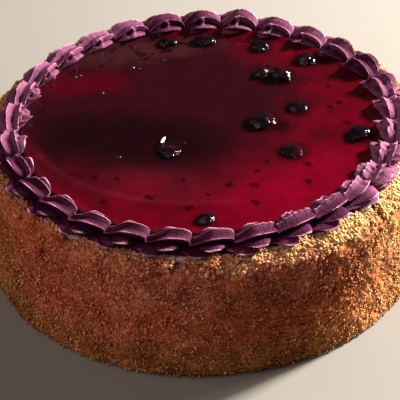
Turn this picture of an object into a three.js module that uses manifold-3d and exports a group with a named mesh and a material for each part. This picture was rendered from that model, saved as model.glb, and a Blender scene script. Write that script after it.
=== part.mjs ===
// Round currant cake, whole: a sponge coated in crumbs, a layer of white cream, a sheet of set
// currant jelly with berries standing in it, and a piped ring of shells round the rim.
// Millimetres, +Z up. The origin is the centre of the flat underside. The front is -Y.
import * as THREE from 'three';
import { mergeVertices } from 'three/addons/utils/BufferGeometryUtils.js';
import Module from 'manifold-3d';

// Driving dimensions
const CAKE_RADIUS = 110;
const TOP_LEVEL = 65.5;
const CREAM_RADIUS = 102.4;
const CREAM_THICKNESS = 3.8;
const CREAM_FOOT_ROUND = 0.5;
const CREAM_EDGE_ROUND = 0.9;
const JELLY_THICKNESS = 2.5;
const JELLY_CLEARANCE = 0.9;
const JELLY_STRIDE = 3;
const FIT_GAP = 0.3;

// Crumb coat
const COAT_SEGMENTS = 104;
const COAT_SEED = 41;
const SIDE_ROWS = 6;
const SIDE_DRAFT = 0.5;
const FOOT_ROUND = 2;
const SHOULDER_WIDTH = 6.6;
const SHOULDER_DROP = 8.5;
const SHOULDER_ROWS = 3;
const RIM_LOW = 0.8;
const RIM_LIP = 0.5;
const WALL_GAP = 0.45;
const CRUMB_RELIEF = 0.9;
const FOOT_RELIEF_SHARE = 0.6;
const RIM_RELIEF_SHARE = 0.4;
const BARE_PATCHES = [233, 262, 318];
const BARE_PATCH_SPAN = 10;
const BARE_PATCH_DEPTH = 1.8;

// Piped ring: two runs of shells, which start tail to tail and end head to head
const RING_RADIUS = 94;
const RING_WANDER = 0.6;
const WANDER_TURNS = 3;
const WANDER_START = 57;
const TAIL_SEAM = 180;
const TAIL_SEAM_PITCHES = 2;
const HEAD_SEAM_PITCHES = 3;
const FRONT_SHELLS = 12;
const BACK_SHELLS = 18;
const SHELL_PITCH = 360 / (FRONT_SHELLS + BACK_SHELLS);
const SHELL_HALF_WIDTH = 9.2;
const SHELL_HEIGHT = 9.4;
const SHELL_SCATTER = 0.1;
const RING_SEED = 7;
const HEAD_SHARE = 0.5;
const TAIL_STATIONS = 5;
const NOSE_TURNS = [24, 46, 66, 81];
const RISE_START = 0.1;
const DOMED_RISE_START = 0.06;
const NOSE_BLUNTNESS = 0.375;
const DOMED_NOSE_BLUNTNESS = 0.5;
const NECK_HEIGHT_SHARE = 0.56;
const NECK_WIDTH_SHARE = 0.8;
const DOMED_NECK_HEIGHT_SHARE = 0.34;
const DOMED_NECK_WIDTH_SHARE = 0.74;
const RIBBON_NECK_HEIGHT_SHARE = 0.82;

// The nozzle's star: angles of its crests from the outer foot, how far each leads along the run, in
// degrees, and the depth of the grooves between them
const FRONT_CRESTS = [-5, 20, 56, 101, 148, 186];
const BACK_CRESTS = [-8, 18, 66, 114, 162, 188];
const CREST_LEADS = [-5, -0.2, 1.4, 1.8, 0.6, -2];
const FOOT_LEAD = -3.5;
const CREST_ROLL = 9;
const GROOVES = [0.36, 0.42, 0.2, 0.38, 0.24];
const SECTION_CENTRE_SHARE = 0.35;
const FOOT_WIDTH_SHARE = 0.8;
const LOW_CREST_TURN = 26;
const LOW_CREST_BLEND = 30;
const SIDE_NECK = 0.46;
const INNER_FALL = 0.13;

// The two outer rows of the star are piped as separate bulbs
const BULB_REACH = 0.24;
const BULB_PEAK = 0.7;
const BULB_END = 0.92;
const BULB_TAPER = 2;
const BULB_BLUNTNESS = 0.7;
const BULB_LAST_FACE = 1.8;
const BULB_BLEND = 0.6;

// Stretches of the ring, each with its first and last azimuth and the softness of its ends
const FRONT_STRETCH = [184, 322, 10];
const DOMED_STRETCH = [-36, 116, 14];
const RIBBON_STRETCH = [286, 326, 12];

// Where the shells differ from the usual size, and by how much
const LARGEST = { azimuth: 76, span: 20, height: 2.4, halfWidth: 0.5 };
const FULL = { stretch: [200, 268, 16], height: 0.5, halfWidth: 0 };
const THIN = { stretch: [118, 180, 16], height: -1.3, halfWidth: -0.8 };
const FLAT = { stretch: [282, 326, 12], height: -1.5, halfWidth: 0.5 };

// Berries: azimuth about the cake's axis, distance from it, width, and height, all seen from above
const BERRIES = [
  { azimuth: 43.8, distance: 57.8, width: 10.6, height: 7.2 },
  { azimuth: 52.9, distance: 53, width: 8.2, height: 6.1 },
  { azimuth: 0, distance: 29.7, width: 13.4, height: 6.8 },
  { azimuth: 12.8, distance: 49.6, width: 10.8, height: 5.2 },
  { azimuth: 328.7, distance: 50.6, width: 11.2, height: 4.8 },
  { azimuth: 349.4, distance: 77.5, width: 11.6, height: 6.6 },
  { azimuth: 232.3, distance: 26.4, width: 11.4, height: 4.8 },
  { azimuth: 270, distance: 77.6, width: 8.6, height: 5.2 },
  { azimuth: 86.8, distance: 76.5, width: 11, height: 6.4 },
  { azimuth: 44.5, distance: 77.2, width: 10.4, height: 6.2 },
  { azimuth: 64.4, distance: 76, width: 9.4, height: 6 },
  { azimuth: 101.7, distance: 77.4, width: 9, height: 5.8 },
];
const BERRY_SEGMENTS = 10;
const BERRY_ROWS = 7;
const BERRY_SEED = 100;
const BERRY_DENT = 0.07;
const BERRY_STRETCH = 0.08;
const BERRY_GAP = 0.36;

const DEGREE = Math.PI / 180;
const FULL_TURN = 360;

// Repeatable random numbers from 0 to 1
function seededRandom(seed) {
  let state = seed;
  return () => {
    state = (state * 1664525 + 1013904223) % 4294967296;
    return state / 4294967296;
  };
}

function clampShare(value) {
  return THREE.MathUtils.clamp(value, 0, 1);
}

// Degrees between two azimuths, never more than half a turn
function turnBetween(azimuth, other) {
  return Math.abs(((azimuth - other + 1.5 * FULL_TURN) % FULL_TURN) - FULL_TURN / 2);
}

// A smooth rise to 1 at one azimuth, back to 0 at half a span on each side
function swellAt(azimuth, centre, span) {
  const reach = Math.min(turnBetween(azimuth, centre) / (span / 2), 1);
  return 0.5 + 0.5 * Math.cos(Math.PI * reach);
}

// Level ground of 1 on a stretch of the ring, with soft ends
function plateau(azimuth, [from, to, softness]) {
  const inside = (to - from) / 2 - turnBetween(azimuth, (from + to) / 2);
  return THREE.MathUtils.smoothstep(inside, -softness / 2, softness / 2);
}

// A closed shell of shared vertices, turned so that the profile's height runs along +Z
function turnedSolid(profile, segments) {
  const turned = new THREE.LatheGeometry(profile.map(([r, z]) => new THREE.Vector2(r, z)), segments);
  turned.rotateX(Math.PI / 2);
  return weld(turned);
}

function weld(geometry) {
  geometry.deleteAttribute('normal');
  geometry.deleteAttribute('uv');
  return mergeVertices(geometry, 1e-4);
}

function namedMesh(name, geometry, color, roughness) {
  geometry.computeVertexNormals();
  const material = new THREE.MeshStandardMaterial({ color, roughness, metalness: 0 });
  const mesh = new THREE.Mesh(geometry, material);
  mesh.name = name;
  return mesh;
}

// Sponge with its crumb coat. The coat rises past the cream's edge as a low rim.
function crumbProfile() {
  const rimTop = TOP_LEVEL - RIM_LOW;
  const shoulderStart = rimTop - SHOULDER_DROP;
  const profile = [[0, 0], [CAKE_RADIUS - FOOT_ROUND, 0]];
  for (let row = 0; row <= SIDE_ROWS; row += 1) {
    const share = row / SIDE_ROWS;
    const z = FOOT_ROUND + share * (shoulderStart - FOOT_ROUND);
    profile.push([CAKE_RADIUS - SIDE_DRAFT * (1 - share) ** 2, z]);
  }
  for (let row = 1; row <= SHOULDER_ROWS; row += 1) {
    const turn = (row / SHOULDER_ROWS) * 90 * DEGREE;
    const r = CAKE_RADIUS - SHOULDER_WIDTH * (1 - Math.cos(turn));
    profile.push([r, shoulderStart + SHOULDER_DROP * Math.sin(turn)]);
  }
  const seat = TOP_LEVEL - CREAM_THICKNESS - FIT_GAP;
  const wall = CREAM_RADIUS + WALL_GAP;
  profile.push([wall, rimTop - RIM_LIP], [wall, seat], [0, seat]);
  return profile;
}

// Crumbs stand out as small random bumps, and the rim is worn low where the cream shows through
function roughenCoat(geometry) {
  const random = seededRandom(COAT_SEED);
  const place = geometry.attributes.position;
  for (let i = 0; i < place.count; i += 1) {
    const x = place.getX(i);
    const y = place.getY(i);
    const z = place.getZ(i);
    const r = Math.hypot(x, y);
    const azimuth = Math.atan2(y, x) / DEGREE;
    const push = (2 * random() - 1) * CRUMB_RELIEF;
    if (r > CREAM_RADIUS + WALL_GAP + FIT_GAP && z > 0) {
      const grown = (r + push * (z < FOOT_ROUND + FIT_GAP ? FOOT_RELIEF_SHARE : 1)) / r;
      place.setXY(i, x * grown, y * grown);
    }
    if (r > CREAM_RADIUS && z > TOP_LEVEL - CREAM_THICKNESS + FIT_GAP) {
      const bare = Math.max(...BARE_PATCHES.map((centre) => swellAt(azimuth, centre, BARE_PATCH_SPAN)));
      place.setZ(i, z - bare * BARE_PATCH_DEPTH + push * RIM_RELIEF_SHARE);
    }
  }
}

function crumbCake() {
  const geometry = turnedSolid(crumbProfile(), COAT_SEGMENTS);
  roughenCoat(geometry);
  return namedMesh('crumb_cake', geometry, 0xb98247, 0.95);
}

// White cream, a disc that runs under the jelly and the piped ring
function creamLayer() {
  const low = TOP_LEVEL - CREAM_THICKNESS;
  const profile = [
    [0, low],
    [CREAM_RADIUS - CREAM_FOOT_ROUND, low],
    [CREAM_RADIUS, low + CREAM_FOOT_ROUND],
    [CREAM_RADIUS, TOP_LEVEL - CREAM_EDGE_ROUND],
    [CREAM_RADIUS - CREAM_EDGE_ROUND, TOP_LEVEL],
    [0, TOP_LEVEL],
  ];
  return namedMesh('cream_layer', turnedSolid(profile, COAT_SEGMENTS / 2), 0xe9e2d6, 0.6);
}

// Places of a shell's sections as shares of its pitch: even up to the head, closer towards the nose
function shellStations() {
  const stations = [];
  for (let i = 0; i < TAIL_STATIONS; i += 1) {
    stations.push((HEAD_SHARE * i) / (TAIL_STATIONS - 1));
  }
  for (const turn of NOSE_TURNS) {
    stations.push(HEAD_SHARE + (1 - HEAD_SHARE) * Math.sin(turn * DEGREE));
  }
  return stations;
}

// How far a shell has risen from its neck: slowly at the front, quickly where the shells are domes
function shellRise(along, azimuth) {
  const domed = plateau(azimuth, DOMED_STRETCH);
  if (along >= HEAD_SHARE) {
    const nose = (along - HEAD_SHARE) / (1 - HEAD_SHARE);
    const bluntness = THREE.MathUtils.lerp(NOSE_BLUNTNESS, DOMED_NOSE_BLUNTNESS, domed);
    return Math.max(1 - nose * nose, 0) ** bluntness;
  }
  const share = along / HEAD_SHARE;
  const even = clampShare((share - RISE_START) / (1 - RISE_START));
  const slow = (even + 0.5 - 0.5 * Math.cos(Math.PI * even)) / 2;
  const climb = clampShare((share - DOMED_RISE_START) / (1 - DOMED_RISE_START));
  return THREE.MathUtils.lerp(slow, Math.sin(climb * 90 * DEGREE), domed);
}

// How far a bulb of the outer rows has risen
function bulbRise(along) {
  if (along < BULB_PEAK) {
    return Math.sin((along / BULB_PEAK) * 90 * DEGREE) ** BULB_TAPER;
  }
  const fall = clampShare((along - BULB_PEAK) / (BULB_END - BULB_PEAK));
  return Math.max(Math.cos(fall * 90 * DEGREE), 0) ** BULB_BLUNTNESS;
}

// Size of the shells round the ring: largest at the back, thin at the left back, flat at the right front
function shellSize(azimuth) {
  const largest = swellAt(azimuth, LARGEST.azimuth, LARGEST.span);
  const size = {
    height: SHELL_HEIGHT + LARGEST.height * largest,
    halfWidth: SHELL_HALF_WIDTH + LARGEST.halfWidth * largest,
  };
  for (const { stretch, height, halfWidth } of [FULL, THIN, FLAT]) {
    const share = plateau(azimuth, stretch);
    size.height += height * share;
    size.halfWidth += halfWidth * share;
  }
  return size;
}

// The value of a list at a place between two of its entries
function valueAt(list, place) {
  const low = Math.floor(place);
  const high = Math.min(low + 1, list.length - 1);
  return THREE.MathUtils.lerp(list[low], list[high], place - low);
}

// One point of the star, at a whole number on a crest and halfway between in a groove, as
// [share of half width, share of height]
function starPoint(face, front, roll, rise) {
  const angle = THREE.MathUtils.lerp(valueAt(BACK_CRESTS, face), valueAt(FRONT_CRESTS, face), front);
  const settle = 1 - Math.abs(angle - 90) / (90 - BACK_CRESTS[0]);
  const turned = (angle + roll * settle) * DEGREE;
  const low = clampShare((Math.abs(angle - 90) - LOW_CREST_TURN) / LOW_CREST_BLEND);
  const onCrest = Number.isInteger(face);
  let reach = 1 - (onCrest ? 0 : GROOVES[Math.floor(face)]);
  reach -= low * SIDE_NECK * (1 - rise);
  if (onCrest && face <= 1) {
    reach += BULB_REACH * front * rise;
  }
  if (face > BACK_CRESTS.length / 2) {
    reach -= INNER_FALL * front;
  }
  const up = SECTION_CENTRE_SHARE + reach * (1 - SECTION_CENTRE_SHARE) * Math.sin(turned);
  return [reach * Math.cos(turned), up];
}

// How wide and high the ring is at one azimuth, for a rise from 0 at a neck to 1 at a head
function sizedTo(azimuth, scale, ribbon, rise) {
  const size = shellSize(azimuth);
  const domed = plateau(azimuth, DOMED_STRETCH);
  const domedNeck = THREE.MathUtils.lerp(NECK_HEIGHT_SHARE, DOMED_NECK_HEIGHT_SHARE, domed);
  const neckHeight = THREE.MathUtils.lerp(domedNeck, RIBBON_NECK_HEIGHT_SHARE, ribbon);
  const neckWidth = THREE.MathUtils.lerp(NECK_WIDTH_SHARE, DOMED_NECK_WIDTH_SHARE, domed);
  return {
    height: size.height * scale * THREE.MathUtils.lerp(neckHeight, 1, rise),
    halfWidth: size.halfWidth * THREE.MathUtils.lerp(neckWidth, 1, rise),
  };
}

// One section of the ring: a flat foot, then the star from the outer crest to the inner one
function ringSection(shell, along) {
  const azimuth = shell.start + shell.turn * SHELL_PITCH * along;
  const front = plateau(azimuth, FRONT_STRETCH);
  const ribbon = plateau(azimuth, RIBBON_STRETCH);
  const roll = shell.turn * CREST_ROLL * (2 * along - 1);
  const rise = shellRise(along, azimuth);
  const centre = RING_RADIUS + RING_WANDER * Math.sin((WANDER_TURNS * azimuth + WANDER_START) * DEGREE);
  const headSeam = TAIL_SEAM + FRONT_SHELLS * SHELL_PITCH;
  const tailReach = swellAt(azimuth, TAIL_SEAM, TAIL_SEAM_PITCHES * SHELL_PITCH);
  const headReach = swellAt(azimuth, headSeam, HEAD_SEAM_PITCHES * SHELL_PITCH);
  const leading = shell.turn * (1 - Math.max(tailReach, headReach));
  const place = (across, up, size, lead) => {
    const r = centre + across * size.halfWidth;
    const angle = (azimuth + leading * lead) * DEGREE;
    const z = TOP_LEVEL + FIT_GAP + up * size.height;
    return new THREE.Vector3(r * Math.cos(angle), r * Math.sin(angle), z);
  };
  const faces = BACK_CRESTS.length - 1;
  const points = [];
  for (let face = 0; face <= faces; face += 0.5) {
    const outer = front * clampShare((BULB_LAST_FACE - face) / BULB_BLEND);
    const risen = THREE.MathUtils.lerp(rise, bulbRise(along), outer);
    const size = sizedTo(azimuth, shell.scale, ribbon * (1 - outer), risen);
    const lead = valueAt(CREST_LEADS, face);
    if (face === 0) {
      points.push(place(FOOT_WIDTH_SHARE, 0, size, lead));
    }
    const [across, up] = starPoint(face, front, roll, risen);
    points.push(place(across, up, size, lead));
    if (face === faces) {
      points.push(place(-FOOT_WIDTH_SHARE, 0, size, lead), place(0, 0, size, FOOT_LEAD));
    }
  }
  return points;
}

// Every section in order of azimuth. The back run is piped the other way, so it is walked backwards.
function ringSections() {
  const random = seededRandom(RING_SEED);
  const stations = shellStations();
  const sections = [];
  const addRun = (count, turn) => {
    const shells = [];
    for (let i = 0; i < count; i += 1) {
      const start = TAIL_SEAM + turn * SHELL_PITCH * i;
      shells.push({ start, turn, scale: 1 + SHELL_SCATTER * (random() - 0.5) });
    }
    const run = shells.flatMap((shell) => stations.map((along) => ringSection(shell, along)));
    run.push(ringSection(shells[count - 1], 1));
    return run;
  };
  sections.push(...addRun(FRONT_SHELLS, 1));
  sections.push(...addRun(BACK_SHELLS, -1).reverse().slice(1, -1));
  return sections;
}

// Skin the ring of sections into one closed shell
function skinRing(sections) {
  const around = sections[0].length;
  const positions = sections.flat().flatMap((point) => point.toArray());
  const index = [];
  for (let i = 0; i < sections.length; i += 1) {
    const here = i * around;
    const next = ((i + 1) % sections.length) * around;
    for (let k = 0; k < around; k += 1) {
      const up = (k + 1) % around;
      index.push(here + k, next + k, next + up);
      index.push(here + k, next + up, here + up);
    }
  }
  const geometry = new THREE.BufferGeometry();
  geometry.setAttribute('position', new THREE.Float32BufferAttribute(positions, 3));
  geometry.setIndex(index);
  return geometry;
}

function pipedBorder(sections) {
  return namedMesh('piped_border', skinRing(sections), 0x7b3456, 0.4);
}

// The jelly's edge follows the ring's inner foot, a fit gap away, with a point every few sections
function jellyOutline(sections) {
  const inner = sections.map((section) => {
    const low = section.filter((point) => point.z < TOP_LEVEL + JELLY_THICKNESS + JELLY_CLEARANCE);
    const radii = low.map((point) => Math.hypot(point.x, point.y));
    const foot = section[section.length - 2];
    return { azimuth: Math.atan2(foot.y, foot.x), r: Math.min(...radii) };
  });
  const outline = [];
  for (let i = 0; i < inner.length; i += JELLY_STRIDE) {
    let r = CREAM_RADIUS;
    for (let k = -JELLY_STRIDE; k <= JELLY_STRIDE; k += 1) {
      r = Math.min(r, inner[(i + k + inner.length) % inner.length].r - FIT_GAP);
    }
    outline.push(new THREE.Vector2(r * Math.cos(inner[i].azimuth), r * Math.sin(inner[i].azimuth)));
  }
  return outline;
}

// A squashed berry, dented at random, drawn out to a dry calyx at one end
function berryGeometry(berry, number, growth) {
  const random = seededRandom(BERRY_SEED + number);
  const geometry = weld(new THREE.SphereGeometry(1, BERRY_SEGMENTS, BERRY_ROWS));
  const place = geometry.attributes.position;
  const point = new THREE.Vector3();
  for (let i = 0; i < place.count; i += 1) {
    point.fromBufferAttribute(place, i);
    const dent = 1 - BERRY_DENT * random();
    const calyx = 1 + BERRY_STRETCH * Math.max(point.y, 0) ** 4;
    const half = berry.width / 2;
    const rise = berry.height / 2;
    point.multiply(new THREE.Vector3(half, half * calyx, rise)).multiplyScalar(dent);
    point.setLength(point.length() + growth);
    place.setXYZ(i, point.x, point.y, point.z);
  }
  const settle = new THREE.Matrix4().makeRotationZ(random() * FULL_TURN * DEGREE);
  const x = berry.distance * Math.cos(berry.azimuth * DEGREE);
  const y = berry.distance * Math.sin(berry.azimuth * DEGREE);
  settle.setPosition(x, y, TOP_LEVEL + FIT_GAP + berry.height / 2);
  return geometry.applyMatrix4(settle);
}

function berryMeshes() {
  return BERRIES.map((berry, i) => {
    const geometry = berryGeometry(berry, i, 0);
    return namedMesh(`currant_${i + 1}`, geometry, 0x1c0a14, 0.2);
  });
}

// Solids of the boolean kernel and back
function toSolid(wasm, geometry) {
  const vertProperties = Float32Array.from(geometry.attributes.position.array);
  const triVerts = Uint32Array.from(geometry.index.array);
  return new wasm.Manifold(new wasm.Mesh({ numProp: 3, vertProperties, triVerts }));
}

function toGeometry(solid) {
  const { vertProperties, triVerts } = solid.getMesh();
  const geometry = new THREE.BufferGeometry();
  geometry.setAttribute('position', new THREE.BufferAttribute(vertProperties, 3));
  geometry.setIndex(new THREE.BufferAttribute(triVerts, 1));
  return geometry;
}

// Set jelly, poured up to the ring and round the berries
async function currantJelly(sections) {
  const wasm = await Module();
  wasm.setup();
  const shape = new THREE.Shape(jellyOutline(sections));
  const sheet = new THREE.ExtrudeGeometry(shape, { depth: JELLY_THICKNESS, bevelEnabled: false });
  sheet.translate(0, 0, TOP_LEVEL + FIT_GAP);
  let jelly = toSolid(wasm, weld(sheet));
  BERRIES.forEach((berry, i) => {
    jelly = jelly.subtract(toSolid(wasm, berryGeometry(berry, i, BERRY_GAP)));
  });
  return namedMesh('currant_jelly', toGeometry(jelly), 0x8c0a2e, 0.08);
}

const sections = ringSections();
const cake = new THREE.Group();
cake.add(crumbCake(), creamLayer(), await currantJelly(sections), pipedBorder(sections), ...berryMeshes());

export default cake;
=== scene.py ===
"""Currant cake: crumb coat, cream, set jelly with berries, and a piped ring, in a plain studio."""

import logging
import math
from dataclasses import dataclass
from enum import Enum

import bmesh
import bpy
import numpy as np
from mathutils import Matrix, Vector


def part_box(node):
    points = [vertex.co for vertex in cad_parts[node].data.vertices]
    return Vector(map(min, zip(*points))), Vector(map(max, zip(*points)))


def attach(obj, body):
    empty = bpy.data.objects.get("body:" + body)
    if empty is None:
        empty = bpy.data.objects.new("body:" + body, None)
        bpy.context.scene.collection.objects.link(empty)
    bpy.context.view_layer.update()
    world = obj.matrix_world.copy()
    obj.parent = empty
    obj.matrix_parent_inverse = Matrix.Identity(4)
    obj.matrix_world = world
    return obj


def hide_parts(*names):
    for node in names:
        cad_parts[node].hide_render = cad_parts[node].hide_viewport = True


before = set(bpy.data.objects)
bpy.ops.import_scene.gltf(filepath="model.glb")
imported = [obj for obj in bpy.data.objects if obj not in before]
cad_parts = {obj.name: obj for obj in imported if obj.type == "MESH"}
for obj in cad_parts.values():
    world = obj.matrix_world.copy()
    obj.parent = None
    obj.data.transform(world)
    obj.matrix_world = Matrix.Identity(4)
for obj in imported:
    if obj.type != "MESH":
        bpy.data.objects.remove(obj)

LOG = logging.getLogger("currant_cake")
BODY = "root"
FULL_TURN = 2 * math.pi
QUARTER_TURN = 0.5 * math.pi
WAVE_SPREAD = (0.7, 1.6)

Array = np.ndarray
Colour = tuple[float, float, float, float]
Material = bpy.types.Material
Mesh = bpy.types.Mesh
Socket = bpy.types.NodeSocket
Triple = tuple[float, float, float]


class Slot(Enum):
    """The record's material slots."""

    CRUMBS = "crumb_coat"
    CREAM = "white_cream"
    JELLY = "jelly"
    PIPING = "currant_buttercream"
    BERRY = "currant_skin"


def tint(red: int, green: int, blue: int) -> Colour:
    """Turn a screen colour into the linear colour that shaders take.

    Args:
        red: Red, from 0 to 255.
        green: Green, from 0 to 255.
        blue: Blue, from 0 to 255.

    Returns:
        Linear red, green, blue and an alpha of 1.
    """
    parts = []
    for part in (red, green, blue):
        share = part / 255
        parts.append(share / 12.92 if share <= 0.04045 else ((share + 0.055) / 1.055) ** 2.4)
    return (*parts, 1.0)


def turned_from(azimuth: Array, centre: float) -> Array:
    """How far azimuths are turned from a centre, from -180 to 180 degrees."""
    return (azimuth - centre + 540) % 360 - 180


def swell_at(azimuth: Array, centre: float, span: float) -> Array:
    """A smooth rise to 1 at one azimuth.

    Args:
        azimuth: Azimuths in degrees.
        centre: Where the rise peaks, in degrees.
        span: The whole width of the rise, in degrees.

    Returns:
        Numbers from 0 to 1, one for each azimuth.
    """
    offset = turned_from(azimuth, centre)
    return 0.5 + 0.5 * np.cos(math.pi * np.minimum(np.abs(offset) / (span / 2), 1))


@dataclass(frozen=True)
class Stretch:
    """A stretch of the cake's turn, in degrees, with soft ends."""

    start: float
    end: float
    softness: float

    def at(self, azimuth: Array) -> Array:
        """Tell how far azimuths lie in the stretch.

        Args:
            azimuth: Azimuths in degrees.

        Returns:
            1 in the stretch and 0 outside it, with a smooth change at both ends.
        """
        offset = turned_from(azimuth, (self.start + self.end) / 2)
        share = np.clip(((self.end - self.start) / 2 - np.abs(offset)) / self.softness + 0.5, 0, 1)
        return share * share * (3 - 2 * share)


@dataclass(frozen=True)
class Oval:
    """An oval area with soft edges, seen from above, in metres and degrees.

    It is full up to the share `inner` of its half lengths, and fades out as far beyond them.
    """

    x: float
    y: float
    half_x: float
    half_y: float
    turn: float = 0.0
    inner: float = 0.6


@dataclass(frozen=True)
class Slope:
    """A smooth change from start to end, while another number goes from low to high."""

    low: float
    high: float
    start: float = 0.0
    end: float = 1.0


@dataclass(frozen=True)
class Cloud:
    """Cloudy noise: the usual width of its blotches, how many finer layers it has, and its swirl."""

    size: float
    layers: float = 3.0
    swirl: float = 0.0


@dataclass(frozen=True)
class Waves:
    """Smooth random relief made of seeded plane waves.

    Its height is the usual one, its length the usual distance between crests, and its count how many
    waves are added up.
    """

    height: float
    length: float
    seed: int
    count: int = 24

    def plain(self, points: Array, own: int = 0) -> Array:
        """Work out the relief for a height of 1.

        Args:
            points: Places, one row each.
            own: A number of the piece's own, which makes its relief differ from the others'.

        Returns:
            Heights with a spread of about 1 on each side of 0.
        """
        chance = np.random.default_rng(self.seed + own)
        directions = chance.normal(size=(self.count, points.shape[1]))
        directions /= np.linalg.norm(directions, axis=1, keepdims=True)
        lengths = self.length * chance.uniform(*WAVE_SPREAD, self.count)
        phases = chance.uniform(0, FULL_TURN, self.count)
        angles = points @ (directions / lengths[:, None]).T * FULL_TURN + phases
        return np.sin(angles).sum(axis=1) * math.sqrt(2 / self.count)

    def at(self, points: Array, own: int = 0) -> Array:
        """The relief at places, for a piece's own number."""
        return self.height * self.plain(points, own)

    def folds(self, points: Array, own: int = 0) -> Array:
        """The relief at places with its hollows folded up, and all of it sunk by its height."""
        return self.height * np.abs(self.plain(points, own)) - self.height


def mesh_points(mesh: Mesh) -> Array:
    """Read a mesh's vertices.

    Args:
        mesh: The mesh.

    Returns:
        Its vertices as rows of x, y, z.
    """
    points = np.empty(len(mesh.vertices) * 3, dtype=np.float32)
    mesh.vertices.foreach_get("co", points)
    return points.reshape(-1, 3).astype(float)


def move_points(mesh: Mesh, points: Array) -> None:
    """Write a mesh's vertices from rows of x, y, z."""
    mesh.vertices.foreach_set("co", points.astype(np.float32).ravel())
    mesh.update()


def mark_points(mesh: Mesh, name: str, values: Array) -> None:
    """Give each of a mesh's vertices a number, as a new attribute of that name."""
    marks = mesh.attributes.new(name, "FLOAT", "POINT")
    marks.data.foreach_set("value", values.astype(np.float32))


def finished_mesh(name: str, shape: bmesh.types.BMesh) -> Mesh:
    """Turn a shape into a mesh, and let go of the shape.

    Args:
        name: The mesh's name.
        shape: The shape.

    Returns:
        The mesh.
    """
    mesh = bpy.data.meshes.new(name)
    shape.to_mesh(mesh)
    shape.free()
    return mesh


def spun_mesh(
    name: str, outline: list[tuple[float, float]], steps: int, arcs: int, closed: bool = False
) -> Mesh:
    """Spin an outline round the cake's axis, one arc after another.

    Args:
        name: The mesh's name.
        outline: Radius and height of each point.
        steps: How many sections the full turn has, a multiple of arcs.
        arcs: How many equal arcs the turn is put together from.
        closed: True where the outline is a loop, False where it runs from the axis and back to it.

    Returns:
        A closed mesh with smooth faces that point outwards.
    """
    arc = bmesh.new()
    points = [arc.verts.new((r, 0, z)) for r, z in outline]
    pairs = list(zip(points, points[1:])) + ([(points[-1], points[0])] if closed else [])
    edges = [arc.edges.new(pair) for pair in pairs]
    sweep = FULL_TURN / arcs
    bmesh.ops.spin(
        arc, geom=points + edges, cent=(0, 0, 0), axis=(0, 0, 1), angle=sweep, steps=steps // arcs,
        use_duplicate=False,
    )
    mesh = finished_mesh(name, arc)
    whole = bmesh.new()
    for _ in range(arcs):
        whole.from_mesh(mesh)
        mesh.transform(Matrix.Rotation(sweep, 4, "Z"))
    bmesh.ops.remove_doubles(whole, verts=whole.verts, dist=1e-6)
    bmesh.ops.recalc_face_normals(whole, faces=whole.faces)
    whole.to_mesh(mesh)
    whole.free()
    mesh.shade_smooth()
    return mesh


def place_piece(mesh: Mesh, material: Material, slot: Slot, *nodes: str) -> None:
    """Put a finished mesh in the scene on the cake's body, and report it.

    Args:
        mesh: The mesh, in place.
        material: Its finish.
        slot: The record's slot that the finish belongs to; not used.
        *nodes: The solids that the piece stands for.
    """
    piece = bpy.data.objects.new(mesh.name, mesh)
    bpy.context.scene.collection.objects.link(piece)
    mesh.materials.clear()
    mesh.materials.append(material)
    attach(piece, BODY)
    if nodes:
        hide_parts(*nodes)
    LOG.info("%s: %d faces", piece.name, len(mesh.polygons))


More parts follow.
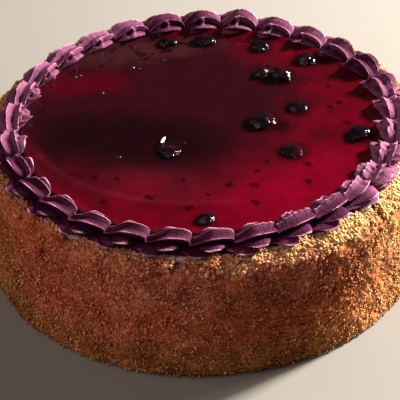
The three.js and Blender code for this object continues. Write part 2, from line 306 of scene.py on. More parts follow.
class Sketch:
    """A material's node tree under construction, round one Principled shader."""

    def __init__(self, name: str) -> None:
        """Start a material.

        Args:
            name: The material's name.
        """
        self.material = bpy.data.materials.new(name)
        self.material.use_nodes = True
        self.tree = self.material.node_tree
        self.shader = next(n for n in self.tree.nodes if n.type == "BSDF_PRINCIPLED")
        self.place = self.add("ShaderNodeTexCoord").outputs["Object"]

    def add(self, kind: str, **settings: object) -> bpy.types.Node:
        """Add a node.

        Args:
            kind: The node's type.
            **settings: Its settings, by name.

        Returns:
            The new node.
        """
        node = self.tree.nodes.new(kind)
        for key, value in settings.items():
            setattr(node, key, value)
        return node

    def feed(self, socket: Socket, value: object) -> None:
        """Link a socket to a value, or set it where the value is a plain one.

        Args:
            socket: The socket that takes the value.
            value: Another node's socket, or a number, a vector or a colour.
        """
        if isinstance(value, Socket):
            self.tree.links.new(value, socket)
        else:
            socket.default_value = value

    def set(self, **values: object) -> None:
        """Feed the shader's sockets, named with underscores for spaces."""
        for key, value in values.items():
            self.feed(self.shader.inputs[key.replace("_", " ")], value)

    def attribute(self, name: str) -> Socket:
        """The numbers that a mesh gives its vertices under that name."""
        return self.add("ShaderNodeAttribute", attribute_name=name).outputs["Fac"]

    def maths(self, operation: str, *values: object) -> Socket:
        """Combine numbers by a Math node.

        Args:
            operation: The node's operation.
            *values: The numbers, as many as the operation takes.

        Returns:
            The result.
        """
        node = self.add("ShaderNodeMath", operation=operation)
        for socket, value in zip(node.inputs, values):
            self.feed(socket, value)
        return node.outputs[0]

    def times(self, first: object, *others: object) -> Socket:
        """Multiply numbers.

        Args:
            first: The first number.
            *others: The numbers that it is multiplied by, one after another.

        Returns:
            The product.
        """
        for other in others:
            first = self.maths("MULTIPLY", first, other)
        return first

    def scaled(self, value: object, factor: float, shift: object = 0.0) -> Socket:
        """Multiply a number by a factor and add a shift to it."""
        return self.maths("MULTIPLY_ADD", value, factor, shift)

    def without(self, value: object) -> Socket:
        """What is left of 1 when a share is taken off."""
        return self.maths("SUBTRACT", 1.0, value)

    def noise(self, cloud: Cloud, place: object = None) -> Socket:
        """Draw cloudy noise.

        Args:
            cloud: The kind of noise.
            place: Coordinates, or None for the object's own.

        Returns:
            Numbers about 0.5.
        """
        node = self.add("ShaderNodeTexNoise")
        self.feed(node.inputs["Vector"], self.place if place is None else place)
        self.feed(node.inputs["Scale"], 1 / cloud.size)
        self.feed(node.inputs["Detail"], cloud.layers)
        self.feed(node.inputs["Distortion"], cloud.swirl)
        return node.outputs["Fac"]

    def cells(self, size: float) -> Socket:
        """Voronoi cells.

        Args:
            size: Their usual width, in metres.

        Returns:
            The distance from the middle of the cell, as a share of the width.
        """
        node = self.add("ShaderNodeTexVoronoi")
        self.feed(node.inputs["Vector"], self.place)
        self.feed(node.inputs["Scale"], 1 / size)
        return node.outputs["Distance"]

    def span(self, value: object, slope: Slope) -> Socket:
        """Turn one number into another by a slope.

        Args:
            value: The number.
            slope: The change, which holds its start and end beyond low and high.

        Returns:
            The new number.
        """
        node = self.add("ShaderNodeMapRange", interpolation_type="SMOOTHSTEP")
        for socket, number in zip(node.inputs, (value, slope.low, slope.high, slope.start, slope.end)):
            self.feed(socket, number)
        return node.outputs[0]

    def mix(self, share: object, first: object, second: object, blend: str = "MIX") -> Socket:
        """Mix two colours.

        Args:
            share: How far the result is the second one, from 0 to 1.
            first: The first colour.
            second: The second colour, or what the first is blended with.
            blend: The kind of blend.

        Returns:
            The mixed colour.
        """
        node = self.add("ShaderNodeMix", data_type="RGBA", blend_type=blend, clamp_factor=True)
        sockets = {socket.name: socket for socket in node.inputs if socket.type == "RGBA"}
        self.feed(node.inputs["Factor"], share)
        self.feed(sockets["A"], first)
        self.feed(sockets["B"], second)
        return next(socket for socket in node.outputs if socket.type == "RGBA")

    def stain(self, colour: object, share: object, dye: object) -> Socket:
        """Darken a colour by a dye.

        Args:
            colour: The colour.
            share: How far it is dyed, from 0 to 1.
            dye: The colour that it is multiplied by.

        Returns:
            The dyed colour.
        """
        return self.mix(share, colour, self.mix(1.0, colour, dye, "MULTIPLY"))

    def ramp(self, share: object, *stops: tuple[float, Colour]) -> Socket:
        """Run through a row of colours.

        Args:
            share: The number that chooses the colour.
            *stops: Numbers and their colours, in order.

        Returns:
            The colour.
        """
        node = self.add("ShaderNodeValToRGB")
        elements = node.color_ramp.elements
        while len(elements) < len(stops):
            elements.new(0.5)
        for element, (at, colour) in zip(elements, stops):
            element.position = at
            element.color = colour
        self.feed(node.inputs["Fac"], share)
        return node.outputs["Color"]

    def framed(self, area: Oval) -> Socket:
        """Coordinates that are 1 long at an area's half lengths.

        Args:
            area: The area, seen from above.

        Returns:
            A vector from its middle, with next to no height.
        """
        node = self.add("ShaderNodeMapping", vector_type="TEXTURE")
        self.feed(node.inputs["Vector"], self.place)
        self.feed(node.inputs["Location"], (area.x, area.y, 0.0))
        self.feed(node.inputs["Rotation"], (0.0, 0.0, math.radians(area.turn)))
        self.feed(node.inputs["Scale"], (area.half_x, area.half_y, 1000.0))
        return node.outputs[0]

    def length(self, vector: object) -> Socket:
        """Measure a vector.

        Args:
            vector: The vector.

        Returns:
            Its length.
        """
        node = self.add("ShaderNodeVectorMath", operation="LENGTH")
        self.feed(node.inputs[0], vector)
        return node.outputs["Value"]

    def patch(self, area: Oval, ragged: object = None) -> Socket:
        """Tell how far places lie in an area.

        Args:
            area: The area, seen from above.
            ragged: A number added to the distance from its middle, to make its edge uneven.

        Returns:
            1 in the area and 0 outside it, with soft edges.
        """
        reach = self.length(self.framed(area))
        if ragged is not None:
            reach = self.maths("ADD", reach, ragged)
        return self.span(reach, Slope(area.inner, 2 - area.inner, 1.0, 0.0))

    def bump(
        self, height: object, depth: float, strength: float = 1.0, over: object = None
    ) -> Socket:
        """Bend the normal by fine relief.

        Args:
            height: The relief, from 0 to 1.
            depth: How deep a height of 1 is, in metres.
            strength: How far the relief shows, from 0 to 1.
            over: Another normal beneath it, or None.

        Returns:
            The bent normal.
        """
        node = self.add("ShaderNodeBump")
        self.feed(node.inputs["Height"], height)
        self.feed(node.inputs["Distance"], depth)
        self.feed(node.inputs["Strength"], strength)
        if over is not None:
            self.feed(node.inputs["Normal"], over)
        return node.outputs["Normal"]


@dataclass(frozen=True)
class CrumbFinish:
    """Dry cake crumbs in tones of their own, with painted light and shade: paler and golden where lit at the
    right, redder and darker in painted shade at the front and left.

    A tone is 0 for the darkest crumb and 1 for the palest, and the palette gives tones their colours.
    Heights are in metres. A dye is a colour that another is multiplied by.
    """

    name: str = "cake_crumbs"
    palette: tuple[tuple[float, Colour], ...] = (
        (0.05, tint(92, 46, 26)), (0.32, tint(154, 98, 54)), (0.6, tint(198, 153, 94)),
        (0.86, tint(222, 190, 136)), (1.0, tint(228, 202, 166)),
    )
    dusty: Colour = tint(176, 128, 126)
    rosy: Colour = tint(224, 152, 136)
    # partly the crumbs' own redder colour, partly painted warm shade on the shaded front
    russet_and_shade_dye: Colour = (1.0, 0.51, 0.58, 1.0)
    # painted shade, also used for the painted shade in small pits
    painted_shade_dye: Colour = (0.66, 0.58, 0.48, 1.0)
    tawny_dye: Colour = (0.78, 0.71, 0.53, 1.0)
    # painted shade at the far left edge of the side
    painted_shade_left_dye: Colour = (0.76, 0.88, 0.58, 1.0)
    # painted dimming where the key lamp lights the side most strongly
    painted_dimming_dye: Colour = (0.62, 0.54, 0.46, 1.0)
    # painted light: amber tint of the painted warm light from below
    painted_bounce_dye: Colour = (0.94, 0.74, 0.62, 1.0)
    clouds: Cloud = Cloud(0.014)
    cloud_share: float = 0.7
    cloud_lift: float = 0.022
    own_share: float = 0.36
    crumb_base: float = 0.03
    speckles: Cloud = Cloud(0.0007, 2.0)
    speckle_share: float = 0.3
    grain: Cloud = Cloud(0.0011, 4.0)
    coat_base: float = -0.40
    pore_size: float = 0.0011
    pore_share: float = 0.35
    pore_base: float = -0.05
    # painted light: the lower right of the side made paler and more amber, standing in for warm light thrown
    # up from below
    painted_bounce_area: Oval = Oval(0.072, -0.088, 0.022, 0.026, 45.0)
    painted_bounce_heights: Slope = Slope(0.024, 0.038, 1.0, 0.0)
    painted_bounce_paling: float = 0.30
    front_area: Oval = Oval(-0.040, -0.110, 0.123, 0.125)
    ledge_area: Oval = Oval(0.100, -0.060, 0.125, 0.090, 0.0, 0.35)
    ledge_heights: Slope = Slope(0.0590, 0.0625, 0.0, 0.85)
    foot_heights: Slope = Slope(0.004, 0.030, 0.35, 1.0)
    # where the side is lit at the right, so that the painted warm shade stays off
    lit_upper_area: Oval = Oval(0.104, -0.050, 0.040, 0.050, 0.0, 0.5)
    lit_upper_heights: Slope = Slope(0.036, 0.050, 0.2, 0.9)
    russet_and_shade_tones: Slope = Slope(0.8, 1.0, 1.0, 0.2)
    tawny_heights: Slope = Slope(0.006, 0.030, 1.0, 0.0)
    tawny_share: float = 0.85
    # painted shade at the far left edge of the side
    painted_shade_left_area: Oval = Oval(-0.117, -0.028, 0.034, 0.055)
    fleck_noise: Cloud = Cloud(0.0022, 2.0)
    fleck_edge: Slope = Slope(0.52, 0.66, 0.0, 0.6)
    fleck_area: Oval = Oval(-0.010, -0.120, 0.070, 0.050)
    fleck_heights: Slope = Slope(0.030, 0.046)
    rosy_tones: Slope = Slope(0.66, 0.96, 0.0, 0.7)
    # painted shade on the side between the lit right and the front
    painted_shade_area: Oval = Oval(0.038, -0.103, 0.036, 0.040, 22.0, 0.5)
    painted_shade_top: Slope = Slope(0.050, 0.060, 1.0, 0.0)
    painted_shade_foot: Slope = Slope(0.012, 0.036, 0.75, 1.0)
    # painted dimming of the back right, which faces the key lamp
    painted_dimming_area: Oval = Oval(0.095, 0.050, 0.062, 0.062)
    painted_dimming_share: float = 0.9
    # painted dimming of the lit right side
    painted_dimming_right_area: Oval = Oval(0.086, -0.070, 0.016, 0.020, 40.0, 0.5)
    painted_dimming_right_heights: Slope = Slope(0.030, 0.044, 0.45, 0.0)
    # small dark pits at the front: painted shade in pits
    pits: Cloud = Cloud(0.0026, 2.0)
    pit_edge: Slope = Slope(0.36, 0.44, 0.6, 0.0)
    rough: Cloud = Cloud(0.0005)
    rough_share: float = 0.7
    rough_cells: float = 0.0009
    rough_depth: float = 0.0004
    rough_strength: float = 0.7
    roughness: float = 0.9
    shine: float = 0.2

    def height(self, sketch: Sketch, clouds: object) -> object:
        """Heights above the foot, shifted by clouds, so that zones of height have uneven edges.

        Args:
            sketch: The material so far.
            clouds: Cloudy numbers about 0.5.

        Returns:
            The shifted heights.
        """
        lift = sketch.add("ShaderNodeCombineXYZ")
        sketch.feed(lift.inputs["Z"], sketch.scaled(clouds, self.cloud_lift, -self.cloud_lift / 2))
        shifted = sketch.add("ShaderNodeVectorMath", operation="ADD")
        sketch.feed(shifted.inputs[0], sketch.place)
        sketch.feed(shifted.inputs[1], lift.outputs[0])
        split = sketch.add("ShaderNodeSeparateXYZ")
        sketch.feed(split.inputs[0], shifted.outputs[0])
        return split.outputs["Z"]

    def tone(self, sketch: Sketch, clouds: object, own: object) -> object:
        """Tell how pale the crumbs are.

        Args:
            sketch: The material so far.
            clouds: Cloudy numbers about 0.5.
            own: Each loose crumb's own tone, or None for the coat beneath.

        Returns:
            The tone.
        """
        if own is None:
            base = sketch.scaled(clouds, self.cloud_share, self.coat_base)
            tone = sketch.maths("ADD", sketch.noise(self.grain), base)
            pores = sketch.scaled(sketch.cells(self.pore_size), self.pore_share, self.pore_base)
            return sketch.maths("SUBTRACT", tone, pores)
        tone = sketch.scaled(own, self.own_share, sketch.scaled(clouds, self.cloud_share, self.crumb_base))
        speckle = sketch.scaled(sketch.noise(self.speckles), self.speckle_share, -self.speckle_share / 2)
        return sketch.maths("ADD", tone, speckle)

    def russet_and_shade_area(self, sketch: Sketch, height: object, front: object) -> object:
        """Tell where the front gets its reddish tint, partly the crumbs' own colour and partly painted warm
        shade: off its foot, off the lit ledge and off the lit right-hand side.

        Args:
            sketch: The material so far.
            height: Heights above the foot.
            front: How far places lie at the front.

        Returns:
            A share from 0 to 1.
        """
        ledge = sketch.times(sketch.patch(self.ledge_area), sketch.span(height, self.ledge_heights))
        lit_upper = sketch.times(sketch.patch(self.lit_upper_area), sketch.span(height, self.lit_upper_heights))
        raised = sketch.times(
            sketch.span(height, self.foot_heights), sketch.without(ledge), sketch.without(lit_upper)
        )
        return sketch.times(front, raised)

    def flecks(self, sketch: Sketch, height: object) -> object:
        """Tell where the front has dusty flecks.

        Args:
            sketch: The material so far.
            height: Heights above the foot.

        Returns:
            A share from 0 to 1.
        """
        spots = sketch.span(sketch.noise(self.fleck_noise), self.fleck_edge)
        return sketch.times(spots, sketch.patch(self.fleck_area), sketch.span(height, self.fleck_heights))

    def darkened(self, sketch: Sketch, colour: object, height: object, painted_bounce: object) -> object:
        """Lay the painted shade, the painted warm light from below and the painted dimming of the lit side
        over a colour.

        Args:
            sketch: The material so far.
            colour: The colour beneath.
            height: Heights above the foot.
            painted_bounce: How far the painted warm light from below is laid on, from 0 to 1.

        Returns:
            The new colour.
        """
        # Painted shade where the side turns away from the key lamp at the right front
        painted_shade = sketch.times(sketch.patch(self.painted_shade_area), sketch.span(height, self.painted_shade_top))
        painted_shade = sketch.times(painted_shade, sketch.span(height, self.painted_shade_foot))
        colour = sketch.stain(colour, painted_shade, self.painted_shade_dye)
        # Painted light: amber tint where the painted warm light from below falls
        colour = sketch.stain(colour, painted_bounce, self.painted_bounce_dye)
        # Painted dimming where the key lamp lights the side, at the back right and at the right
        painted_dimming = sketch.times(sketch.patch(self.painted_dimming_area), self.painted_dimming_share)
        painted_dimming_right = sketch.times(sketch.patch(self.painted_dimming_right_area), sketch.span(height, self.painted_dimming_right_heights))
        return sketch.stain(colour, sketch.maths("ADD", painted_dimming, painted_dimming_right), self.painted_dimming_dye)

    def material(self, by_crumb: bool) -> Material:
        """Build the finish.

        Args:
            by_crumb: True where the mesh gives each crumb its tone, False for the coat beneath.

        Returns:
            The material.
        """
        sketch = Sketch(self.name if by_crumb else f"{self.name}_coat")
        clouds = sketch.noise(self.clouds)
        height = self.height(sketch, clouds)
        own = sketch.attribute("tone") if by_crumb else None
        # Painted light: paler, amber crumbs low at the right front, where warm light from below falls
        painted_bounce = sketch.times(sketch.patch(self.painted_bounce_area), sketch.span(height, self.painted_bounce_heights))
        tone = sketch.scaled(painted_bounce, self.painted_bounce_paling, self.tone(sketch, clouds, own))
        colour = sketch.ramp(tone, *self.palette)
        front = sketch.patch(self.front_area)
        russet_and_shade_area = self.russet_and_shade_area(sketch, height, front)
        # Reddish tint at the front: partly the crumbs' own colour, partly painted warm shade, kept off where
        # the side is lit
        russet_and_shade = sketch.times(russet_and_shade_area, sketch.span(tone, self.russet_and_shade_tones))
        colour = sketch.stain(colour, russet_and_shade, self.russet_and_shade_dye)
        tawny = sketch.times(sketch.span(height, self.tawny_heights), front, self.tawny_share)
        colour = sketch.stain(colour, tawny, self.tawny_dye)
        # Painted shade: darker at the far left edge of the side
        colour = sketch.stain(colour, sketch.patch(self.painted_shade_left_area), self.painted_shade_left_dye)
        colour = sketch.mix(self.flecks(sketch, height), colour, self.dusty)
        if by_crumb:
            colour = sketch.mix(sketch.times(sketch.span(own, self.rosy_tones), russet_and_shade_area), colour, self.rosy)
        colour = self.darkened(sketch, colour, height, painted_bounce)
        # Painted shade in small pits at the front
        pits = sketch.times(sketch.span(sketch.noise(self.pits), self.pit_edge), front)
        colour = sketch.stain(colour, pits, self.painted_shade_dye)
        rough = sketch.scaled(sketch.noise(self.rough), self.rough_share, sketch.cells(self.rough_cells))
        normal = sketch.bump(rough, self.rough_depth, self.rough_strength)
        sketch.set(Base_Color=colour, Roughness=self.roughness, Normal=normal, Specular_IOR_Level=self.shine)
        return sketch.material


@dataclass(frozen=True)
class CreamFinish:
    """White cream, smooth with a few smears."""

    name: str = "white_cream_finish"
    white: Colour = tint(206, 190, 192)
    shade: Colour = tint(170, 142, 144)
    smears: Cloud = Cloud(0.006, 4.0, 0.6)
    smear_edge: Slope = Slope(0.35, 0.7)
    smear_depth: float = 0.0006
    smear_strength: float = 0.6
    roughness: float = 0.45
    glow: float = 0.15
    glow_reach: Triple = (0.003, 0.002, 0.0015)

    def material(self) -> Material:
        """Build the finish.

        Returns:
            The material.
        """
        sketch = Sketch(self.name)
        smear = sketch.noise(self.smears)
        colour = sketch.mix(sketch.span(smear, self.smear_edge), self.shade, self.white)
        normal = sketch.bump(smear, self.smear_depth, self.smear_strength)
        sketch.set(Base_Color=colour, Roughness=self.roughness, Normal=normal)
        sketch.set(Subsurface_Weight=self.glow, Subsurface_Radius=self.glow_reach)
        return sketch.material


@dataclass(frozen=True)
class JellyFinish:
    """Glossy set currant jelly over white cream, with painted light and shade: a painted pool of light at
    the right front, a painted glow at the far left, a painted shadow over the left and back, and painted
    reflections.
    """

    name: str = "currant_jelly_finish"
    # colour of the painted pool of light
    cherry: Colour = tint(92, 0, 20)
    crimson: Colour = tint(74, 0, 14)
    scarlet: Colour = tint(66, 0, 10)
    # colour of the painted shadow
    maroon: Colour = tint(31, 3, 8)
    blackish: Colour = tint(14, 1, 4)
    # colour of the painted glow
    ruby: Colour = tint(56, 0, 8)
    # painted sheen: a greyish reflection on the jelly at the back
    painted_sheen_tint: Colour = tint(46, 18, 22)
    # painted reflection tint, for the pale streak and arc near the front
    rosy: Colour = tint(82, 14, 28)
    skin: Colour = tint(8, 1, 2)
    clouds: Cloud = Cloud(0.026, 4.0, 0.5)
    cloud_edge: Slope = Slope(0.35, 0.65)
    wobble_width: float = 0.7
    # painted pool of light at the right front
    painted_pool_area: Oval = Oval(0.042, -0.052, 0.036, 0.026, 20.0, 0.3)
    painted_pool_share: float = 0.7
    # painted shadow over the left and back
    painted_shadow_area: Oval = Oval(-0.030, 0.021, 0.088, 0.070, 0.0, 0.62)
    painted_shadow_core_area: Oval = Oval(-0.034, 0.024, 0.058, 0.0605, 0.0, 0.9)
    painted_shadow_core_wobble: float = 0.5
    painted_shadow_band_area: Oval = Oval(-0.036, -0.010, 0.048, 0.020, -10.0, 0.55)
    painted_shadow_band_share: float = 0.9
    # painted glow at the far left, where light shines through the jelly
    painted_glow_area: Oval = Oval(-0.056, 0.041, 0.029, 0.010, 6.0, 0.4)
    painted_glow_bounds: Oval = Oval(-0.085, 0.038, 0.049, 0.049, 0.0, 0.93)
    painted_glow_wobble: float = 0.3
    painted_glow_share: float = 0.8
    painted_sheen_area: Oval = Oval(-0.030, 0.069, 0.036, 0.010, 10.0, 0.5)
    painted_sheen_share: float = 0.6
    wisp_noise: Cloud = Cloud(0.012, 3.0, 0.6)
    wisp_run: Oval = Oval(0.0, 0.0, 1.0, 0.4, 8.0)
    wisp_line: Slope = Slope(0.0, 0.028, 0.75, 0.0)
    wisp_area: Oval = Oval(-0.028, 0.066, 0.046, 0.012, 12.0)
    scraps: Cloud = Cloud(0.007, 2.0, 0.4)
    scrap_edge: Slope = Slope(0.58, 0.64, 0.0, 0.8)
    # painted reflections near the front
    painted_reflection_streak_area: Oval = Oval(-0.020, -0.048, 0.028, 0.012, -12.0, 0.4)
    painted_reflection_streak_share: float = 0.2
    painted_reflection_arc_run: Oval = Oval(0.002, 0.0055, 0.087, 0.0695)
    painted_reflection_arc_line: Slope = Slope(0.004, 0.045, 1.0, 0.0)
    painted_reflection_arc_area: Oval = Oval(-0.036, -0.045, 0.052, 0.034, -32.0, 0.8)
    painted_reflection_arc_breaks: Slope = Slope(0.3, 0.7, 0.15, 0.55)
    mottles: Cloud = Cloud(0.009, 5.0, 0.8)
    mottle_share: float = 0.9
    mottle_base: float = 0.55
    halo_reach: float = 0.66
    halo_inner: float = 0.5
    halo_share: float = 0.9
    speck_noise: Cloud = Cloud(0.0022, 2.0)
    speck_tear: float = 1.8
    speck_stretch: float = 1.3
    speck_turn: float = 40.0
    speck_mixing: float = 900.0
    speck_inner: float = 0.45
    speck_share: float = 0.8
    roughness: float = 0.05
    bending: float = 1.38

    def painted_shadow_and_glow(self, sketch: Sketch, colour: object, wobble: object) -> object:
        """Lay the painted shadow over the left and back, and the painted glow at the far left, over a
        colour.

        Args:
            sketch: The material so far.
            colour: The colour beneath.
            wobble: Uneven numbers about 0 for the edges.

        Returns:
            The new colour.
        """
        # Painted shadow over the left and back, darkest in its core and in a band across the left
        colour = sketch.mix(sketch.patch(self.painted_shadow_area, wobble), colour, self.maroon)
        painted_shadow_core = sketch.patch(self.painted_shadow_core_area, sketch.times(wobble, self.painted_shadow_core_wobble))
        colour = sketch.mix(painted_shadow_core, colour, self.maroon)
        painted_shadow_band = sketch.times(sketch.patch(self.painted_shadow_band_area, wobble), self.painted_shadow_band_share)
        colour = sketch.mix(painted_shadow_band, colour, self.blackish)
        # Painted glow at the far left
        bounds = sketch.patch(self.painted_glow_bounds, sketch.times(wobble, self.painted_glow_wobble))
        glow = sketch.times(sketch.patch(self.painted_glow_area, wobble), bounds, self.painted_glow_share)
        return sketch.mix(glow, colour, self.ruby)

    def wisps(self, sketch: Sketch, colour: object, wobble: object) -> object:
        """Lay the painted sheen at the back, a greyish reflection with wispy edges, and the dark scraps
        there over a colour.

        Args:
            sketch: The material so far.
            colour: The colour beneath.
            wobble: Uneven numbers about 0 for the edges.

        Returns:
            The new colour.
        """
        # Painted sheen at the back, with painted wisps at its edges
        painted_sheen = sketch.times(sketch.patch(self.painted_sheen_area, wobble), self.painted_sheen_share)
        colour = sketch.mix(painted_sheen, colour, self.painted_sheen_tint)
        drawn = sketch.noise(self.wisp_noise, sketch.framed(self.wisp_run))
        thread = sketch.maths("ABSOLUTE", sketch.maths("SUBTRACT", drawn, 0.5))
        area = sketch.patch(self.wisp_area, wobble)
        wisps = sketch.times(sketch.span(thread, self.wisp_line), area)
        colour = sketch.mix(wisps, colour, self.painted_sheen_tint)
        scraps = sketch.times(sketch.span(sketch.noise(self.scraps), self.scrap_edge), area)
        return sketch.mix(scraps, colour, self.blackish)

    def painted_reflections(self, sketch: Sketch, colour: object, cloud: object) -> object:
        """Lay the painted reflections near the front, a pale streak and a broken pale arc, over a colour.

        Args:
            sketch: The material so far.
            colour: The colour beneath.
            cloud: Cloudy numbers about 0.5.

        Returns:
            The new colour.
        """
        painted_reflection_streak = sketch.times(sketch.patch(self.painted_reflection_streak_area), self.painted_reflection_streak_share)
        colour = sketch.mix(painted_reflection_streak, colour, self.rosy)
        # The painted arc of reflection
        reach = sketch.length(sketch.framed(self.painted_reflection_arc_run))
        away = sketch.maths("ABSOLUTE", sketch.maths("SUBTRACT", reach, 1.0))
        lip = sketch.times(sketch.span(away, self.painted_reflection_arc_line), sketch.patch(self.painted_reflection_arc_area))
        lip = sketch.times(lip, sketch.span(cloud, self.painted_reflection_arc_breaks))
        return sketch.mix(lip, colour, self.rosy)

    def sunk(
        self, sketch: Sketch, colour: object, specks: tuple[Triple, ...], berries: list["Currant"]
    ) -> object:
        """Lay the dark jelly round the berries, and the seeds and scraps of skin, over a colour.

        Args:
            sketch: The material so far.
            colour: The colour beneath.
            specks: Place in x and y and half width of each seed or scrap of skin.
            berries: The berries.

        Returns:
            The new colour.
        """
        torn = sketch.scaled(sketch.noise(self.speck_noise), self.speck_tear, -self.speck_tear / 2)
        for berry in berries:
            half = berry.size * self.halo_reach
            area = Oval(berry.centre.x, berry.centre.y, half.x, half.y, inner=self.halo_inner)
            colour = sketch.mix(sketch.times(sketch.patch(area), self.halo_share), colour, self.skin)
        for x, y, half in specks:
            turn = self.speck_turn * math.sin(self.speck_mixing * x)
            area = Oval(x, y, half, half * self.speck_stretch, turn, self.speck_inner)
            colour = sketch.mix(sketch.times(sketch.patch(area, torn), self.speck_share), colour, self.skin)
        return colour

    def material(self, specks: tuple[Triple, ...], berries: list["Currant"]) -> Material:
        """Build the finish.

        Args:
            specks: Place in x and y and half width of each seed or scrap of skin in the jelly.
            berries: The berries, round which the jelly is darker.

        Returns:
            The material.
        """
        sketch = Sketch(self.name)
        cloud = sketch.noise(self.clouds)
        wobble = sketch.scaled(cloud, self.wobble_width, -self.wobble_width / 2)
        colour = sketch.mix(sketch.span(cloud, self.cloud_edge), self.scarlet, self.crimson)
        # Painted pool of light at the right front
        painted_pool = sketch.times(sketch.patch(self.painted_pool_area, wobble), self.painted_pool_share)
        colour = sketch.mix(painted_pool, colour, self.cherry)
        colour = self.painted_shadow_and_glow(sketch, colour, wobble)
        colour = self.wisps(sketch, colour, wobble)
        colour = self.painted_reflections(sketch, colour, cloud)
        mottle = sketch.scaled(sketch.noise(self.mottles), self.mottle_share, self.mottle_base)
        colour = sketch.mix(1.0, colour, mottle, "MULTIPLY")
        colour = self.sunk(sketch, colour, specks, berries)
        sketch.set(Base_Color=colour, Roughness=self.roughness, IOR=self.bending)
        return sketch.material


@dataclass(frozen=True)
class PipingFinish:
    """Satin mauve buttercream with the fine lines that the nozzle drew, with painted highlights on its thin
    crests and painted shade in its hollows and grooves.

    The lines follow the piped coordinates, whose units are a vertex of the section and a degree of the run.
    """

    name: str = "mauve_buttercream"
    mauve: Colour = tint(103, 42, 76)
    plum: Colour = tint(46, 9, 30)
    # painted highlight on the crests
    crest: Colour = tint(226, 160, 190)
    # painted light: paler mauve on the faces that the lamps light, at the right and the back
    painted_lit_mauve: Colour = tint(164, 104, 136)
    # painted shade in the hollows and grooves
    hollow: Colour = tint(34, 3, 22)
    drawn: Cloud = Cloud(1.0, 2.0)
    drawn_scale: Triple = (0.42, 0.06, 1.0)
    crossed: Cloud = Cloud(1.0, 2.0, 0.3)
    crossed_scale: Triple = (0.12, 1.3, 1.0)
    crossed_share: float = 0.5
    crossed_base: float = 0.26
    crossed_area: Oval = Oval(0.054, -0.077, 0.017, 0.044, -55.0, 0.7)
    contrast: float = 3.0
    clouds: Cloud = Cloud(0.010)
    cloud_share: float = 0.6
    cloud_base: float = -1.5
    painted_lit_mauve_share: float = 0.5
    painted_shade_edge: Slope = Slope(0.02, 0.6, 0.85, 0.0)
    painted_highlight_edge: Slope = Slope(0.9, 1.0, 0.0, 0.8)
    painted_lit_crests: Slope = Slope(0.0, 0.6, 0.75, 1.0)
    breaks: Cloud = Cloud(0.004)
    break_edge: Slope = Slope(0.3, 0.6, 0.35, 1.0)
    grain: Cloud = Cloud(0.0006, 2.0)
    grain_edge: Slope = Slope(0.35, 0.65, 0.42, 0.0)
    painted_lit_grain: Slope = Slope(0.2, 0.9, 0.3, 1.0)
    relief_depth: float = 0.0005
    relief_strength: float = 0.9
    roughness: float = 0.62
    shine: float = 0.04
    glow: float = 0.08
    glow_reach: Triple = (0.002, 0.0008, 0.0012)

    def lines(self, sketch: Sketch, cloud: Cloud, scale: Triple) -> object:
        """Draw lines in the piped coordinates.

        Args:
            sketch: The material so far.
            cloud: The noise that is drawn out into lines.
            scale: How many blotches there are to a unit across the run, and to one along it.

        Returns:
            Numbers about 0.5.
        """
        node = sketch.add("ShaderNodeMapping", vector_type="POINT")
        sketch.feed(node.inputs["Vector"], sketch.add("ShaderNodeUVMap", uv_map="piping").outputs[0])
        sketch.feed(node.inputs["Scale"], scale)
        return sketch.noise(cloud, node.outputs[0])

    def material(self) -> Material:
        """Build the finish.

        Returns:
            The material.
        """
        sketch = Sketch(self.name)
        drawn = self.lines(sketch, self.drawn, self.drawn_scale)
        crossed = self.lines(sketch, self.crossed, self.crossed_scale)
        crossed = sketch.scaled(crossed, self.crossed_share, self.crossed_base)
        texture = sketch.mix(sketch.patch(self.crossed_area), drawn, crossed)
        cloud = sketch.scaled(sketch.noise(self.clouds), self.cloud_share, self.cloud_base)
        colour = sketch.mix(sketch.scaled(texture, self.contrast, cloud), self.plum, self.mauve)
        painted_lit_faces = sketch.attribute("painted_lit_mauve")
        # Painted light: paler mauve on the lit faces at the right and the back
        colour = sketch.mix(sketch.times(painted_lit_faces, self.painted_lit_mauve_share), colour, self.painted_lit_mauve)
        crest = sketch.attribute("crest")
        # Painted shade in the hollows and grooves, away from the crests
        colour = sketch.mix(sketch.span(crest, self.painted_shade_edge), colour, self.hollow)
        broken = sketch.span(sketch.noise(self.breaks), self.break_edge)
        # Painted highlights along the crests, broken here and there
        edge = sketch.times(sketch.span(crest, self.painted_highlight_edge), sketch.span(painted_lit_faces, self.painted_lit_crests), broken)
        colour = sketch.mix(edge, colour, self.crest)
        fine = sketch.noise(self.grain)
        grain = sketch.times(sketch.span(fine, self.grain_edge), sketch.span(painted_lit_faces, self.painted_lit_grain))
        colour = sketch.mix(grain, colour, self.mauve)
        normal = sketch.bump(fine, self.relief_depth, self.relief_strength)
        normal = sketch.bump(texture, self.relief_depth, self.relief_strength, over=normal)
        sketch.set(Base_Color=colour, Roughness=self.roughness, Normal=normal, Specular_IOR_Level=self.shine)
        sketch.set(Subsurface_Weight=self.glow, Subsurface_Radius=self.glow_reach)
        return sketch.material


@dataclass(frozen=True)
class BerryFinish:
    """Wet, wrinkled, near-black currant skin."""

    name: str = "currant_skin_finish"
    black: Colour = tint(10, 5, 9)
    violet: Colour = tint(40, 4, 18)
    blotches: Cloud = Cloud(0.004)
    blotch_edge: Slope = Slope(0.45, 0.7)
    wrinkles: Cloud = Cloud(0.0024, 1.0, 0.6)
    wrinkle_depth: float = 0.0004
    wrinkle_strength: float = 0.5
    roughness: float = 0.035
    bending: float = 1.33

    def material(self) -> Material:
        """Build the finish.

        Returns:
            The material.
        """
        sketch = Sketch(self.name)
        blotch = sketch.span(sketch.noise(self.blotches), self.blotch_edge)
        normal = sketch.bump(sketch.noise(self.wrinkles), self.wrinkle_depth, self.wrinkle_strength)
        sketch.set(Base_Color=sketch.mix(blotch, self.black, self.violet), Normal=normal)
        sketch.set(Roughness=self.roughness, IOR=self.bending)
        return sketch.material


